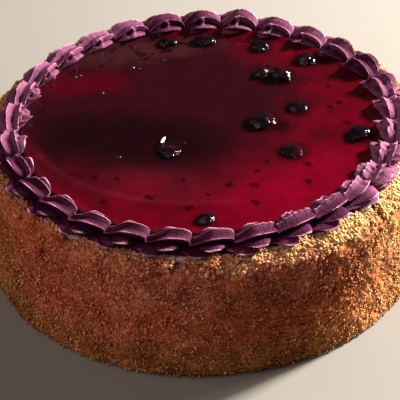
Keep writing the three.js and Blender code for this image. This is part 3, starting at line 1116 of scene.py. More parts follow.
@dataclass(frozen=True)
class JamFinish:
    """Dark red glossy jam."""

    name: str = "dark_jam"
    red: Colour = tint(104, 4, 16)
    dark: Colour = tint(60, 2, 10)
    clouds: Cloud = Cloud(0.003)
    cloud_edge: Slope = Slope(0.35, 0.65)
    roughness: float = 0.12

    def material(self) -> Material:
        """Build the finish.

        Returns:
            The material.
        """
        sketch = Sketch(self.name)
        cloud = sketch.span(sketch.noise(self.clouds), self.cloud_edge)
        sketch.set(Base_Color=sketch.mix(cloud, self.dark, self.red), Roughness=self.roughness)
        return sketch.material


@dataclass
class CoatProfile:
    """The crumb coat's outline, from the foot up the side and over the shoulder to the rim."""

    top: float
    radius: float = 0.110
    foot_round: float = 0.002
    foot_taper: float = 0.0005
    shoulder_width: float = 0.0066
    shoulder_drop: float = 0.0085
    rim_low: float = 0.0008

    @property
    def shoulder_start(self) -> float:
        """Height at which the side begins to turn in."""
        return self.top - self.rim_low - self.shoulder_drop

    def side_point(self, height: float) -> tuple[float, float]:
        """Radius and height on the straight side."""
        share = 1 - (height - self.foot_round) / (self.shoulder_start - self.foot_round)
        return self.radius - self.foot_taper * max(share, 0) ** 2, height

    def shoulder_point(self, turn: float) -> tuple[float, float]:
        """Radius and height on the shoulder, at a turn in radians from the side."""
        radius = self.radius - self.shoulder_width * (1 - math.cos(turn))
        return radius, self.shoulder_start + self.shoulder_drop * math.sin(turn)

    def points(self, pitch: float) -> list[tuple[float, float]]:
        """List the outline from foot to rim.

        Args:
            pitch: The usual distance between points, in metres.

        Returns:
            Radius and height of each point.
        """
        rows = round((self.shoulder_start - self.foot_round) / pitch)
        rise = (self.shoulder_start - self.foot_round) / rows
        outline = [self.side_point(self.foot_round + rise * row) for row in range(rows)]
        bends = round(QUARTER_TURN * self.shoulder_drop / pitch) + 1
        outline += [self.shoulder_point(QUARTER_TURN * bend / bends) for bend in range(bends + 1)]
        return outline


@dataclass
class CrumbCoat:
    """The sponge with its crumb coat, and the loose crumbs that stick out of it."""

    profile: CoatProfile
    cream_radius: float
    cream_low: float
    pitch: float = 0.00085
    steps: int = 800
    arcs: int = 40
    underside_rings: tuple[float, ...] = (0.0, 0.03, 0.07)
    seat_gap: float = 0.0003
    wall_gap: float = 0.0004
    wall_drop: float = 0.0005
    lumps: Waves = Waves(0.0004, 0.011, seed=11)
    grit: Waves = Waves(0.00022, 0.0040, seed=12, count=40)
    fine_grit: Waves = Waves(0.00016, 0.0018, seed=13, count=40)
    smooth_rim: float = 0.001
    smooth_foot: float = 0.0005
    top_share: float = 0.4
    bare_patches: tuple[float, ...] = (233.0, 262.0, 318.0)
    bare_span: float = 8.0
    bare_depth: float = 0.0018
    side_crumbs: int = 9900
    side_lowest: float = 0.0012
    fine_crumbs: int = 9900
    clumps: int = 400
    clump_crumbs: int = 15
    clump_turn: float = 0.75
    clump_slide: float = 0.0010
    lit_azimuth: float = 312.0
    lit_spread: float = 26.0
    lit_share: float = 0.6
    shoulder_from: float = 0.16
    shoulder_to: float = 0.5
    edge_crumbs: int = 9000
    edge_inside: float = 0.0040
    edge_outside: float = 0.0026
    edge_worn: float = 0.95
    edge_on_coat: float = 0.0009
    edge_on_cream: float = 0.0001

    def bareness(self, azimuth: Array) -> Array:
        """How far the crumbs are worn off the rim, from 0 to 1, at azimuths in degrees."""
        return np.max([swell_at(azimuth, centre, self.bare_span) for centre in self.bare_patches], axis=0)

    def body(self) -> Mesh:
        """Spin and roughen the coat.

        Returns:
            The coat's mesh, with a recess for the cream.
        """
        seat = self.cream_low - self.seat_gap
        inner = self.cream_radius + self.wall_gap
        outline = [(radius, 0.0) for radius in self.underside_rings]
        outline += [(self.profile.radius - self.profile.foot_round, 0.0)]
        outline += self.profile.points(self.pitch)
        wall = self.profile.top - self.profile.rim_low - self.wall_drop
        outline += [(inner, wall), (inner, seat), (0.0, seat)]
        mesh = spun_mesh("crumb_coat", outline, self.steps, self.arcs)
        points = mesh_points(mesh)
        reach = np.hypot(points[:, 0], points[:, 1])
        azimuth = np.degrees(np.arctan2(points[:, 1], points[:, 0]))
        push = self.lumps.at(points) + self.grit.at(points) + self.fine_grit.at(points)
        outside = (reach > self.cream_radius + self.smooth_rim) & (points[:, 2] > self.smooth_foot)
        grown = np.where(outside, (reach + push) / np.maximum(reach, 1e-9), 1.0)
        points[:, :2] *= grown[:, None]
        rim = (reach > self.cream_radius) & (points[:, 2] > self.cream_low + self.seat_gap)
        worn = self.bareness(azimuth) * self.bare_depth * (points[:, 2] > self.profile.shoulder_start)
        points[:, 2] += np.where(rim, self.top_share * push - worn, 0.0)
        move_points(mesh, points)
        return mesh

    def side_spots(self, count: int, seed: int) -> tuple[Array, Array]:
        """Draw places for crumbs all over the side.

        Args:
            count: How many.
            seed: Seed of the draw.

        Returns:
            Radius, azimuth and height of each, and the outward direction there.
        """
        chance = np.random.default_rng(seed)
        azimuth = chance.uniform(0, 360, count)
        height = chance.uniform(self.side_lowest, self.profile.shoulder_start, count)
        radius = np.array([self.profile.side_point(z)[0] for z in height])
        return np.stack([radius, azimuth, height], axis=1), np.tile([1.0, 0.0], (count, 1))

    def edge_spots(self, count: int, seed: int) -> tuple[Array, Array]:
        """Draw places for crumbs on the rim, up to the ring's foot.

        Args:
            count: How many.
            seed: Seed of the draw.

        Returns:
            Radius, azimuth and height of each, and the outward direction there.
        """
        chance = np.random.default_rng(seed)
        azimuth = chance.uniform(0, 360, count)
        inner, outer = self.cream_radius - self.edge_inside, self.cream_radius + self.edge_outside
        radius = chance.uniform(inner, outer, count)
        stuck = chance.uniform(size=count) > self.edge_worn * self.bareness(azimuth)
        sunk = np.where(radius > self.cream_radius, self.edge_on_coat, self.edge_on_cream)
        spots = np.stack([radius, azimuth, self.profile.top - sunk], axis=1)[stuck]
        return spots, np.tile([0.0, 1.0], (len(spots), 1))

    def rim_spots(self, count: int, seed: int) -> tuple[Array, Array]:
        """Draw places on the shoulder, most of them at the right front.

        Args:
            count: How many.
            seed: Seed of the draw.

        Returns:
            Radius, azimuth and height of each, and the outward direction there.
        """
        chance = np.random.default_rng(seed)
        even = chance.uniform(0, 360, count)
        lit = chance.normal(self.lit_azimuth, self.lit_spread, count)
        azimuth = np.where(chance.uniform(size=count) < self.lit_share, lit, even) % 360
        turn = chance.uniform(self.shoulder_from, self.shoulder_to, count) * math.pi
        place = np.array([self.profile.shoulder_point(angle) for angle in turn])
        stuck = chance.uniform(size=count) > self.bareness(azimuth)
        spots = np.stack([place[:, 0], azimuth, place[:, 1]], axis=1)[stuck]
        return spots, np.stack([np.cos(turn), np.sin(turn)], axis=1)[stuck]

    def clump_spots(self, seed: int) -> tuple[Array, Array]:
        """Draw places for clumps of crumbs on the shoulder, most of them at the right front.

        Args:
            seed: Seed of the draw.

        Returns:
            Radius, azimuth and height of each crumb, and the outward direction there.
        """
        chance = np.random.default_rng(seed)
        spots, outward = self.rim_spots(self.clumps, seed)
        count = len(spots) * self.clump_crumbs
        spots = np.repeat(spots, self.clump_crumbs, axis=0)
        outward = np.repeat(outward, self.clump_crumbs, axis=0)
        spots[:, 1] += chance.normal(0, self.clump_turn, count)
        slide = chance.normal(0, self.clump_slide, count)
        spots[:, 0] -= slide * outward[:, 1]
        spots[:, 2] += slide * outward[:, 0]
        return spots, outward

    def build(self) -> None:
        """Make the coat and its loose crumbs."""
        finish = CrumbFinish()
        place_piece(self.body(), finish.material(by_crumb=False), Slot.CRUMBS, "crumb_cake")
        loose = finish.material(by_crumb=True)
        kinds = (
            (Crumbs("side_crumbs", 0.0004, 0.0008, seed=21), self.side_spots(self.side_crumbs, seed=31)),
            (Crumbs("fine_crumbs", 0.0003, 0.0007, seed=22), self.side_spots(self.fine_crumbs, seed=32)),
            (
                Crumbs("rim_crumbs", 0.0004, 0.0011, seed=23, sunk=0.75, painted_light_paleness=0.12),
                self.clump_spots(seed=33),
            ),
            (
                Crumbs("edge_crumbs", 0.0004, 0.0009, seed=24, painted_light_paleness=0.45),
                self.edge_spots(self.edge_crumbs, seed=34),
            ),
        )
        for crumbs, (spots, outward) in kinds:
            place_piece(crumbs.mesh(spots, outward), loose, Slot.CRUMBS)


@dataclass
class Crumbs:
    """Loose crumbs of one kind, joined in one mesh."""

    name: str
    smallest: float
    largest: float
    seed: int
    fineness: int = 1
    sunk: float = 0.3
    # painted light: how much paler the crumbs are on the lit right front
    painted_light_paleness: float = 0.0
    smallness: float = 2.2
    narrowest: float = 0.65
    widest: float = 1.25
    flattest: float = 0.72
    knobbiest: float = 1.28
    stand: float = 0.6
    # where the painted light on the rim crumbs falls
    painted_light_side: Stretch = Stretch(258, 380, 24)

    def pattern(self) -> tuple[Array, Array]:
        """Make one round crumb of radius 1.

        Returns:
            Its vertices, and the numbers of the vertices of each triangle.
        """
        shape = bmesh.new()
        bmesh.ops.create_icosphere(shape, subdivisions=self.fineness, radius=1.0)
        shape.verts.index_update()
        points = np.array([vertex.co[:] for vertex in shape.verts])
        faces = np.array([[vertex.index for vertex in face.verts] for face in shape.faces])
        shape.free()
        return points, faces

    def mesh(self, spots: Array, outward: Array) -> Mesh:
        """Join a crumb for each spot.

        Args:
            spots: Radius, azimuth in degrees and height of each spot.
            outward: The direction out of the coat there, in radius and height.

        Returns:
            The joined mesh, with each crumb's tone.
        """
        chance = np.random.default_rng(self.seed)
        points, faces = self.pattern()
        count = len(spots)
        size = self.smallest + (self.largest - self.smallest) * chance.uniform(size=count) ** self.smallness
        stretch = chance.uniform(self.narrowest, self.widest, (count, 1, 3)) * size[:, None, None]
        knobs = chance.uniform(self.flattest, self.knobbiest, (count, len(points), 1))
        spin = chance.normal(size=(count, 4))
        spin /= np.linalg.norm(spin, axis=1, keepdims=True)
        placed = np.einsum("nij,nkj->nki", quaternion_turns(spin), points[None] * knobs * stretch)
        lift = size * (1 - 2 * self.sunk * chance.uniform(size=count)) * self.stand
        angle = np.radians(spots[:, 1])
        radius = spots[:, 0] + outward[:, 0] * lift
        height = spots[:, 2] + outward[:, 1] * lift
        placed += np.stack([radius * np.cos(angle), radius * np.sin(angle), height], axis=1)[:, None]
        placed[..., 2] = np.maximum(placed[..., 2], 0.0)
        index = faces[None] + (np.arange(count) * len(points))[:, None, None]
        mesh = triangle_mesh(self.name, placed.reshape(-1, 3), index.reshape(-1, 3))
        # Painted light: paler tones on the rim crumbs at the lit right front
        tone = self.painted_light_paleness * self.painted_light_side.at(spots[:, 1]) + chance.uniform(size=count)
        mark_points(mesh, "tone", np.repeat(tone, len(points)))
        return mesh


def quaternion_turns(spin: Array) -> Array:
    """Turn unit quaternions into rotation matrices.

    Args:
        spin: Quaternions, one row each.

    Returns:
        A matrix of 3 by 3 for each.
    """
    w, x, y, z = spin.T
    rows = [
        [1 - 2 * (y * y + z * z), 2 * (x * y - w * z), 2 * (x * z + w * y)],
        [2 * (x * y + w * z), 1 - 2 * (x * x + z * z), 2 * (y * z - w * x)],
        [2 * (x * z - w * y), 2 * (y * z + w * x), 1 - 2 * (x * x + y * y)],
    ]
    return np.moveaxis(np.array(rows), 2, 0)


def triangle_mesh(name: str, points: Array, triangles: Array) -> Mesh:
    """Join many small pieces' triangles into one mesh.

    Args:
        name: The mesh's name.
        points: Vertices, one row each.
        triangles: Three vertex numbers a row.

    Returns:
        The mesh.
    """
    mesh = bpy.data.meshes.new(name)
    mesh.vertices.add(len(points))
    mesh.vertices.foreach_set("co", points.astype(np.float32).ravel())
    mesh.loops.add(triangles.size)
    mesh.loops.foreach_set("vertex_index", triangles.astype(np.int32).ravel())
    mesh.polygons.add(len(triangles))
    mesh.polygons.foreach_set("loop_start", np.arange(0, triangles.size, 3, dtype=np.int32))
    mesh.update(calc_edges=True)
    mesh.shade_smooth()
    return mesh


@dataclass
class CreamLayer:
    """The white cream under the jelly and the ring."""

    radius: float
    low: float
    top: float
    steps: int = 288
    arcs: int = 12
    underside_ring: float = 0.05
    edge_rows: int = 8
    edge_bulge: float = 0.001
    top_shares: tuple[float, ...] = (0.97, 0.93, 0.86, 0.6, 0.3, 0.0)
    edge_width: float = 0.002
    unevenness: Waves = Waves(0.0002, 0.006, seed=5)

    def build(self) -> None:
        """Make the layer with a soft, slightly uneven edge."""
        outline = [(0.0, self.low), (self.underside_ring, self.low)]
        half = (self.top - self.low) / 2
        for row in range(self.edge_rows + 1):
            turn = math.pi * (row / self.edge_rows - 0.5)
            radius = self.radius - self.edge_bulge * (1 - math.cos(turn))
            outline.append((radius, self.low + half * (1 + math.sin(turn))))
        outline += [(self.radius * share, self.top) for share in self.top_shares]
        mesh = spun_mesh("cream_disc", outline, self.steps, self.arcs)
        points = mesh_points(mesh)
        reach = np.hypot(points[:, 0], points[:, 1])
        push = np.where(reach > self.radius - self.edge_width, self.unevenness.at(points), 0.0)
        points[:, :2] *= (1 + push / np.maximum(reach, 1e-9))[:, None]
        move_points(mesh, points)
        place_piece(mesh, CreamFinish().material(), Slot.CREAM, "cream_layer")


@dataclass
class JamDribble:
    """A drop of jam that has run down the crumbs from under the ring."""

    profile: CoatProfile
    azimuth: float = 226.0
    high: float = 0.0625
    low: float = 0.0515
    half_width: float = 0.0016
    half_depth: float = 0.0009
    narrowness: float = 0.55
    beading: float = 0.12
    beads: float = 9.0
    stand: float = 0.0003
    sway: float = 0.0007
    bends: float = 5.0

    def build(self) -> None:
        """Make the drop, narrow at the top and round at its low end."""
        shape = bmesh.new()
        bmesh.ops.create_uvsphere(shape, u_segments=24, v_segments=32, radius=1.0)
        mesh = finished_mesh("jam_dribble", shape)
        points = mesh_points(mesh)
        height = self.low + (self.high - self.low) * (points[:, 2] + 1) / 2
        swell = self.narrowness + (1 - self.narrowness) * np.clip(-points[:, 2], 0, 1)
        swell += self.beading * np.sin(self.beads * points[:, 2])
        climb = np.clip((height - self.profile.shoulder_start) / self.profile.shoulder_drop, 0, 0.999)
        radius = self.profile.radius - self.profile.shoulder_width * (1 - np.sqrt(1 - climb**2))
        radius = radius + self.stand + points[:, 0] * self.half_depth * swell
        side = points[:, 1] * self.half_width * swell + self.sway * np.sin(self.bends * points[:, 2])
        angle = math.radians(self.azimuth) + side / self.profile.radius
        move_points(mesh, np.stack([radius * np.cos(angle), radius * np.sin(angle), height], axis=1))
        mesh.shade_smooth()
        place_piece(mesh, JamFinish().material(), Slot.JELLY)


@dataclass
class Currant:
    """One squashed berry with its dry calyx. Waves on its skin are in shares of its half width."""

    number: int
    centre: Vector
    size: Vector
    fineness: int = 5
    dents: Waves = Waves(0.08, 1.5, seed=60)
    wrinkles: Waves = Waves(0.05, 0.7, seed=80)
    creases: Waves = Waves(0.035, 0.34, seed=120)
    calyx_step: float = 2.4
    calyx_lift: float = 0.45
    calyx_neck: float = 0.10
    calyx_neck_power: int = 12
    calyx_hole: float = 0.16
    calyx_hole_power: int = 60
    calyx_fray: Waves = Waves(0.06, 0.16, seed=99)
    calyx_fray_power: int = 20
    fill: float = 0.96

    def skin(self, points: Array) -> Array:
        """Work out the skin's reach, with dents, wrinkles, creases and the calyx.

        Args:
            points: Places on a ball of radius 1.

        Returns:
            The distance of the skin from the middle, in half widths.
        """
        reach = 1 + self.dents.at(points, self.number)
        reach += self.wrinkles.folds(points, self.number) + self.creases.folds(points, self.number)
        turn = self.calyx_step * self.number
        calyx = np.array([math.cos(turn), math.sin(turn), self.calyx_lift])
        near = np.clip(points @ (calyx / np.linalg.norm(calyx)), 0, 1)
        reach += self.calyx_neck * near**self.calyx_neck_power
        reach -= self.calyx_hole * near**self.calyx_hole_power
        return reach + self.calyx_fray.at(points, self.number) * near**self.calyx_fray_power

    def mesh(self) -> Mesh:
        """Make the berry.

        Returns:
            Its mesh, in place.
        """
        shape = bmesh.new()
        bmesh.ops.create_icosphere(shape, subdivisions=self.fineness, radius=1.0)
        mesh = finished_mesh(f"currant_{self.number}_skin", shape)
        points = mesh_points(mesh)
        points *= (self.fill * self.skin(points))[:, None]
        move_points(mesh, points * (np.array(self.size) / 2) + np.array(self.centre))
        mesh.shade_smooth()
        return mesh


@dataclass
class CurrantJelly:
    """The sheet of jelly, with the seeds and scraps of skin that are sunk in it.

    A speck or a bubble is its place in x and y and its half width, in metres.
    """

    level: float
    low: float
    berries: list[Currant]
    reach: float = 0.0885
    steps: int = 360
    arcs: int = 12
    pitch: float = 0.0008
    ripples: Waves = Waves(0.00006, 0.03, seed=71)
    meniscus: float = 0.0007
    berry_share: float = 0.46
    berry_climb: float = 0.0011
    rim_gap: float = 0.002
    rim_climb: float = 0.0015
    speck_rise: float = 0.00012
    speck_spread: float = 1.5
    bubble_rise: float = 0.45
    specks: tuple[Triple, ...] = (
        (0.0642, 0.0297, 0.0014), (0.0688, 0.0144, 0.0016), (0.0640, 0.0110, 0.0014),
        (0.0795, 0.0022, 0.0012), (0.0713, -0.0031, 0.0016), (0.0498, -0.0370, 0.0018),
        (0.0492, -0.0509, 0.0017), (0.0306, -0.0331, 0.0012), (0.0255, -0.0399, 0.0013),
        (0.0119, -0.0505, 0.0018), (0.0234, -0.0518, 0.0019), (0.0234, -0.0654, 0.0019),
        (-0.0076, -0.0676, 0.0016), (-0.0263, -0.0577, 0.0019), (-0.0518, -0.0402, 0.0015),
        (-0.0413, -0.0420, 0.0012), (-0.0097, -0.0458, 0.0011), (0.0014, -0.0577, 0.0009),
        (-0.0475, -0.0602, 0.0014), (0.0348, 0.0501, 0.0012), (0.0391, -0.0039, 0.0036),
    )
    bubble_places: tuple[Triple, ...] = (
        (-0.0343, 0.0542, 0.0013), (-0.0310, 0.0536, 0.0009), (-0.0184, 0.0605, 0.0011),
        (-0.0499, 0.0322, 0.0015), (-0.0634, 0.0480, 0.0010), (-0.0612, 0.0498, 0.0008),
        (-0.0409, -0.0241, 0.0016), (-0.0090, -0.0150, 0.0009),
    )
    scrap_place: Triple = (-0.0190, -0.0125, 0.0007)
    scrap_half: Triple = (0.0028, 0.0008, 0.0001)
    scrap_turn: float = 64.6
    scrap_tilt: float = 43.0

    def surface(self, points: Array) -> Array:
        """Work out the relief of the jelly's skin.

        Args:
            points: Places, of which x and y count.

        Returns:
            The height of the skin above its level at each place.
        """
        height = self.ripples.at(points[:, :2])
        for berry in self.berries:
            away = np.hypot(points[:, 0] - berry.centre.x, points[:, 1] - berry.centre.y)
            gap = np.maximum(away - self.berry_share * max(berry.size.x, berry.size.y), 0)
            height = height + self.meniscus * np.exp(-gap / self.berry_climb)
        for x, y, half in self.specks:
            away = np.hypot(points[:, 0] - x, points[:, 1] - y)
            height = height + self.speck_rise * np.exp(-((away / (self.speck_spread * half)) ** 2))
        rim = np.maximum(self.reach - self.rim_gap - np.hypot(points[:, 0], points[:, 1]), 0)
        return height + self.meniscus * np.exp(-rim / self.rim_climb)

    def bubbles(self) -> Mesh:
        """Make the flat bubbles on the jelly's skin, and the wet scrap of berry skin that stands out of it.

        Returns:
            Their joined mesh.
        """
        x, y, rise = self.scrap_place
        turned = Matrix.Rotation(math.radians(self.scrap_turn), 4, "Z")
        tilted = Matrix.Rotation(math.radians(self.scrap_tilt), 4, "X")
        scrap = Matrix.Translation((x, y, self.level + rise)) @ turned @ tilted
        places = []
        for x, y, half in self.bubble_places:
            flattened = Matrix.Diagonal((half, half, self.bubble_rise * half, 1))
            places.append(Matrix.Translation((x, y, self.level)) @ flattened)
        shape = bmesh.new()
        for place in [*places, scrap @ Matrix.Diagonal((*self.scrap_half, 1))]:
            bmesh.ops.create_icosphere(shape, subdivisions=4, radius=1.0, matrix=place)
        mesh = finished_mesh("jelly_bubbles", shape)
        mesh.shade_smooth()
        return mesh

    def build(self) -> None:
        """Make the bubbles and the sheet."""
        film = JamFinish("bubble_skin", red=tint(34, 3, 10), dark=tint(14, 1, 4))
        place_piece(self.bubbles(), film.material(), Slot.JELLY)
        rows = round(self.reach / self.pitch)
        outline = [(0.0, self.low), (self.reach, self.low)]
        outline += [(self.reach * (1 - row / rows), self.level) for row in range(rows + 1)]
        mesh = spun_mesh("currant_jelly_sheet", outline, self.steps, self.arcs)
        points = mesh_points(mesh)
        skin = points[:, 2] > self.level - 1e-5
        points[:, 2] += np.where(skin, self.surface(points), 0.0)
        move_points(mesh, points)
        place_piece(mesh, JellyFinish().material(self.specks, self.berries), Slot.JELLY, "currant_jelly")


class Chance:
    """Repeatable random numbers from 0 to 1, the same as the solids' own."""

    def __init__(self, seed: int) -> None:
        """Start at a seed."""
        self.state = seed

    def next(self) -> float:
        """Draw the next number."""
        self.state = (self.state * 1664525 + 1013904223) % 4294967296
        return self.state / 4294967296


@dataclass(frozen=True)
class ShellPlaces:
    """Where each vertex of the ring lies in its shell.

    The run is true at the front. The turn is 1 at the front and -1 at the back. The shell is its number
    from the tails' seam. The phase is the share of its sections passed, and along the share of its pitch.
    """

    run: Array
    turn: Array
    shell: Array
    phase: Array
    along: Array
    azimuth: Array


@dataclass
class PipedRing:
    """Two runs of piped shells round the rim, which start tail to tail and end head to head.

    Crests and rolls are in degrees round the section. Faces are counted between crests from the outer
    foot, and powers bend a shape's curve. Sizes hold what is added to the height and the half width of
    the shells in a stretch, and the creases and the painted light on the lit faces hold stretches with
    their shares.
    """

    base: float
    ring_radius: float = 0.094
    wander: float = 0.0006
    wander_waves: float = 3.0
    wander_turn: float = 1.0
    tail_seam: float = 180.0
    front_shells: int = 12
    back_shells: int = 18
    half_width: float = 0.0092
    height: float = 0.0094
    size_seed: int = 7
    size_least: float = 0.95
    size_spread: float = 0.1
    lead: tuple[float, ...] = (-5.0, -0.2, 1.4, 1.8, 0.6, -2.0)
    neck_height: float = 0.56
    neck_width: float = 0.8
    domed_neck_height: float = 0.34
    domed_neck_width: float = 0.74
    slow_start: float = 0.1
    quick_start: float = 0.06
    nose_power: float = 0.75
    dip: float = 0.16
    tail_gap: float = 0.05
    nose_gap: float = 0.04
    tail_share: float = 0.5
    crests: tuple[float, ...] = (-8.0, 18.0, 66.0, 114.0, 162.0, 188.0)
    front_crests: tuple[float, ...] = (-5.0, 20.0, 56.0, 101.0, 148.0, 186.0)
    crest_roll: float = 9.0
    grooves: tuple[float, ...] = (0.48, 0.56, 0.26, 0.5, 0.3)
    top_groove: float = 0.16
    top_face: int = 2
    crown_half: float = 26.0
    crown_edge: float = 30.0
    cusp_power: float = 2.2
    swell_power: float = 1.6
    side_neck: float = 0.46
    side_head: float = 0.30
    side_head_power: float = 1.3
    side_faces: float = 2.5
    inner_fall: float = 0.13
    inner_start: float = 3.2
    inner_width: float = 0.8
    bulb_peak: float = 0.7
    bulb_end: float = 0.92
    bulb_growth: float = 2.5
    bulb_decline: float = 0.7
    bulb_face: float = 1.8
    bulb_edge: float = 0.6
    ribbon_neck: float = 0.82
    teeth: Waves = Waves(0.16, 0.0046, seed=18, count=12)
    tooth_least: float = -0.4
    tooth_most: float = 1.4
    rags: Waves = Waves(0.02, 0.0022, seed=17)
    rag_least: float = 0.15
    rag_power: int = 6
    rag_back: float = 0.8
    crumples: Waves = Waves(0.12, 0.0055, seed=19, count=12)
    crumple_level: float = 0.6
    lane_width: float = 0.0006
    upper_face: float = 3.5
    upper_width: float = 0.8
    scroll_along: float = 0.45
    scroll_length: float = 0.11
    scroll_width: float = 0.3
    scroll_height: float = 0.42
    lip_place: float = 1.1
    lip_width: float = 0.45
    hollow_width: float = 0.75
    hollow_share: float = 0.3
    centre_share: float = 0.35
    foot_share: float = 0.8
    crowding: float = 0.11
    along_samples: int = 40
    foot_samples: int = 4
    side_samples: int = 3
    face_samples: int = 12
    shallow_groove: float = 0.5
    shallow_span: float = 0.24
    shallow_crest: float = 0.32
    neck_fade: float = 0.5
    head_crest: float = 0.35
    head_crest_power: int = 4
    lip_crest: float = 0.9
    lip_gain: float = 1.4
    hollow_gain: float = 1.2
    low_crest: float = 0.62
    low_crest_edge: float = 0.3
    low_crest_fade: float = 0.6
    # painted highlight line along the inner foot of the back-left shells
    foot_highlight_height: float = 0.0031
    foot_highlight_width: float = 0.0006
    foot_highlight_side: float = -0.5
    foot_highlight_share: float = 0.97
    line_across: float = 0.9
    line_along: float = 1.6
    line_jump: float = 7.3
    largest_azimuth: float = 76.0
    largest_span: float = 20.0
    largest_height: float = 0.0024
    largest_width: float = 0.0005
    sizes: tuple[tuple[Stretch, float, float], ...] = (
        (Stretch(200, 268, 16), 0.0005, 0.0), (Stretch(118, 180, 16), -0.0013, -0.0008),
        (Stretch(282, 326, 12), -0.0015, 0.0005),
    )
    domes: Stretch = Stretch(-36, 116, 14)
    rolled: Stretch = Stretch(184, 322, 10)
    toothed: Stretch = Stretch(284, 326, 12)
    ribbons: Stretch = Stretch(286, 326, 12)
    scrolled: Stretch = Stretch(-24, 186, 12)
    torn: Stretch = Stretch(-36, 186, 12)
    foot_highlighted: Stretch = Stretch(92, 176, 14)
    creased: tuple[tuple[Stretch, float], ...] = (
        (Stretch(-38, 16, 10), 1.0), (Stretch(120, 186, 12), 0.5),
    )
    # painted light on the lit faces, by stretch
    painted_lit_faces: tuple[tuple[Stretch, float], ...] = (
        (Stretch(-42, 16, 14), 1.0), (Stretch(110, 190, 20), 0.8), (Stretch(40, 88, 14), 0.5),
    )

    @property
    def shells(self) -> int:
        """How many shells the ring has."""
        return self.front_shells + self.back_shells

    @property
    def pitch(self) -> float:
        """The turn from one shell to the next, in degrees."""
        return 360 / self.shells

    @property
    def faces(self) -> int:
        """How many faces the star has between its crests."""
        return len(self.crests) - 1

    @property
    def around_samples(self) -> int:
        """How many vertices one section has."""
        return 2 * (self.foot_samples + self.side_samples) + self.faces * self.face_samples

    def ring(self) -> Mesh:
        """Spin a plain round section into a ring.

        Returns:
            The plain ring.
        """
        turns = [FULL_TURN * number / self.around_samples for number in range(self.around_samples)]
        middle, half = self.ring_radius, self.half_width
        circle = [(middle + half * math.cos(turn), self.base + half * math.sin(turn)) for turn in turns]
        steps = self.shells * self.along_samples
        return spun_mesh("buttercream_ring", circle, steps, self.shells, closed=True)

    def grid_places(self, points: Array) -> tuple[Array, Array]:
        """Find each vertex's place on the plain ring.

        Args:
            points: The plain ring's vertices.

        Returns:
            The number of its section round the ring, and its number in the section from the foot's middle.
        """
        steps = self.shells * self.along_samples
        section = np.round(np.arctan2(points[:, 1], points[:, 0]) / FULL_TURN * steps).astype(int) % steps
        reach = np.hypot(points[:, 0], points[:, 1]) - self.ring_radius
        angle = np.arctan2(points[:, 2] - self.base, reach) / FULL_TURN + 0.25
        return section, np.round(angle * self.around_samples).astype(int) % self.around_samples

    def nose(self, phase: Array) -> Array:
        """How far round its nose a shell is at shares of its sections, from 0 to a quarter turn."""
        return QUARTER_TURN * np.clip(2 * phase - 1, 0, 1)

    def shell_places(self, section: Array) -> ShellPlaces:
        """Find where each vertex lies in its shell.

        Args:
            section: The number of each vertex's section round the ring.

        Returns:
            The places.
        """
        offset = (section / self.along_samples - self.tail_seam / self.pitch) % self.shells
        run = offset < self.front_shells
        travelled = np.where(run, offset, self.shells - offset)
        turn = np.where(run, 1.0, -1.0)
        shell = np.floor(travelled + 1e-6)
        phase = np.clip(travelled - shell, 0, 1)
        head = self.tail_share + (1 - self.tail_share) * np.sin(self.nose(phase))
        along = np.where(phase < 0.5, self.tail_share * 2 * phase, head)
        azimuth = self.tail_seam + turn * self.pitch * (shell + along)
        return ShellPlaces(run, turn, shell, phase, along, azimuth)

    def shell_size(self, azimuth: Array) -> tuple[Array, Array]:
        """Tell how large the shells are, before each gets its own size.

        Args:
            azimuth: Azimuths in degrees.

        Returns:
            Their height and their half width, in metres.
        """
        largest = swell_at(azimuth, self.largest_azimuth, self.largest_span)
        height = self.height + self.largest_height * largest
        half_width = self.half_width + self.largest_width * largest
        for stretch, taller, wider in self.sizes:
            share = stretch.at(azimuth)
            height = height + taller * share
            half_width = half_width + wider * share
        return height, half_width

    def own_size(self, places: ShellPlaces) -> Array:
        """Draw each shell's own size.

        Args:
            places: Where each vertex lies in its shell.

        Returns:
            The factor of its shell's height, for each vertex.
        """
        chance = Chance(self.size_seed)
        scales = np.array([self.size_least + self.size_spread * chance.next() for _ in range(self.shells)])
        which = np.where(places.run, places.shell, places.shell + self.front_shells)
        return scales[which.astype(int) % self.shells]

    def crest_numbers(self) -> list[int]:
        """Number in a section of the vertex on each crest."""
        first = self.foot_samples + self.side_samples
        return [first + self.face_samples * crest for crest in range(len(self.crests))]

    def face(self, number: Array) -> Array:
        """Place between the crests of each vertex's number in its section, closer together at the crests."""
        place = np.clip((number - self.foot_samples - self.side_samples) / self.face_samples, 0, self.faces)
        return place - self.crowding * np.sin(FULL_TURN * place)

    def rise(self, phase: Array, domed: Array) -> Array:
        """Tell how far the shells have risen from their necks.

        Args:
            phase: Shares of a shell's sections.
            domed: How far the shells are separate domes there, from 0 to 1.

        Returns:
            0 at a neck and 1 on a head, and a little less than 0 between two shells.
        """
        late = np.clip((2 * phase - self.slow_start) / (1 - self.slow_start), 0, 1)
        slow = 0.5 * late + 0.25 - 0.25 * np.cos(math.pi * late)
        climb = np.clip((2 * phase - self.quick_start) / (1 - self.quick_start), 0, 1)
        quick = np.sin(QUARTER_TURN * climb)
        falling = np.cos(self.nose(phase)) ** (self.nose_power + (1 - self.nose_power) * domed)
        rise = np.where(phase < 0.5, slow + domed * (quick - slow), falling)
        gap = np.maximum(1 - phase / self.tail_gap, 0) + np.maximum(1 - (1 - phase) / self.nose_gap, 0)
        return rise - self.dip * np.clip(gap, 0, 1) ** 2

    def bulb(self, along: Array) -> Array:
        """Tell how far the bulbs of the outer rows have risen.

        Args:
            along: Shares of the pitch.

        Returns:
            Numbers from 0 to 1.
        """
        growing = np.sin(QUARTER_TURN * np.clip(along / self.bulb_peak, 0, 1)) ** self.bulb_growth
        past = np.clip((along - self.bulb_peak) / (self.bulb_end - self.bulb_peak), 0, 1)
        return np.where(along < self.bulb_peak, growing, np.cos(QUARTER_TURN * past) ** self.bulb_decline)

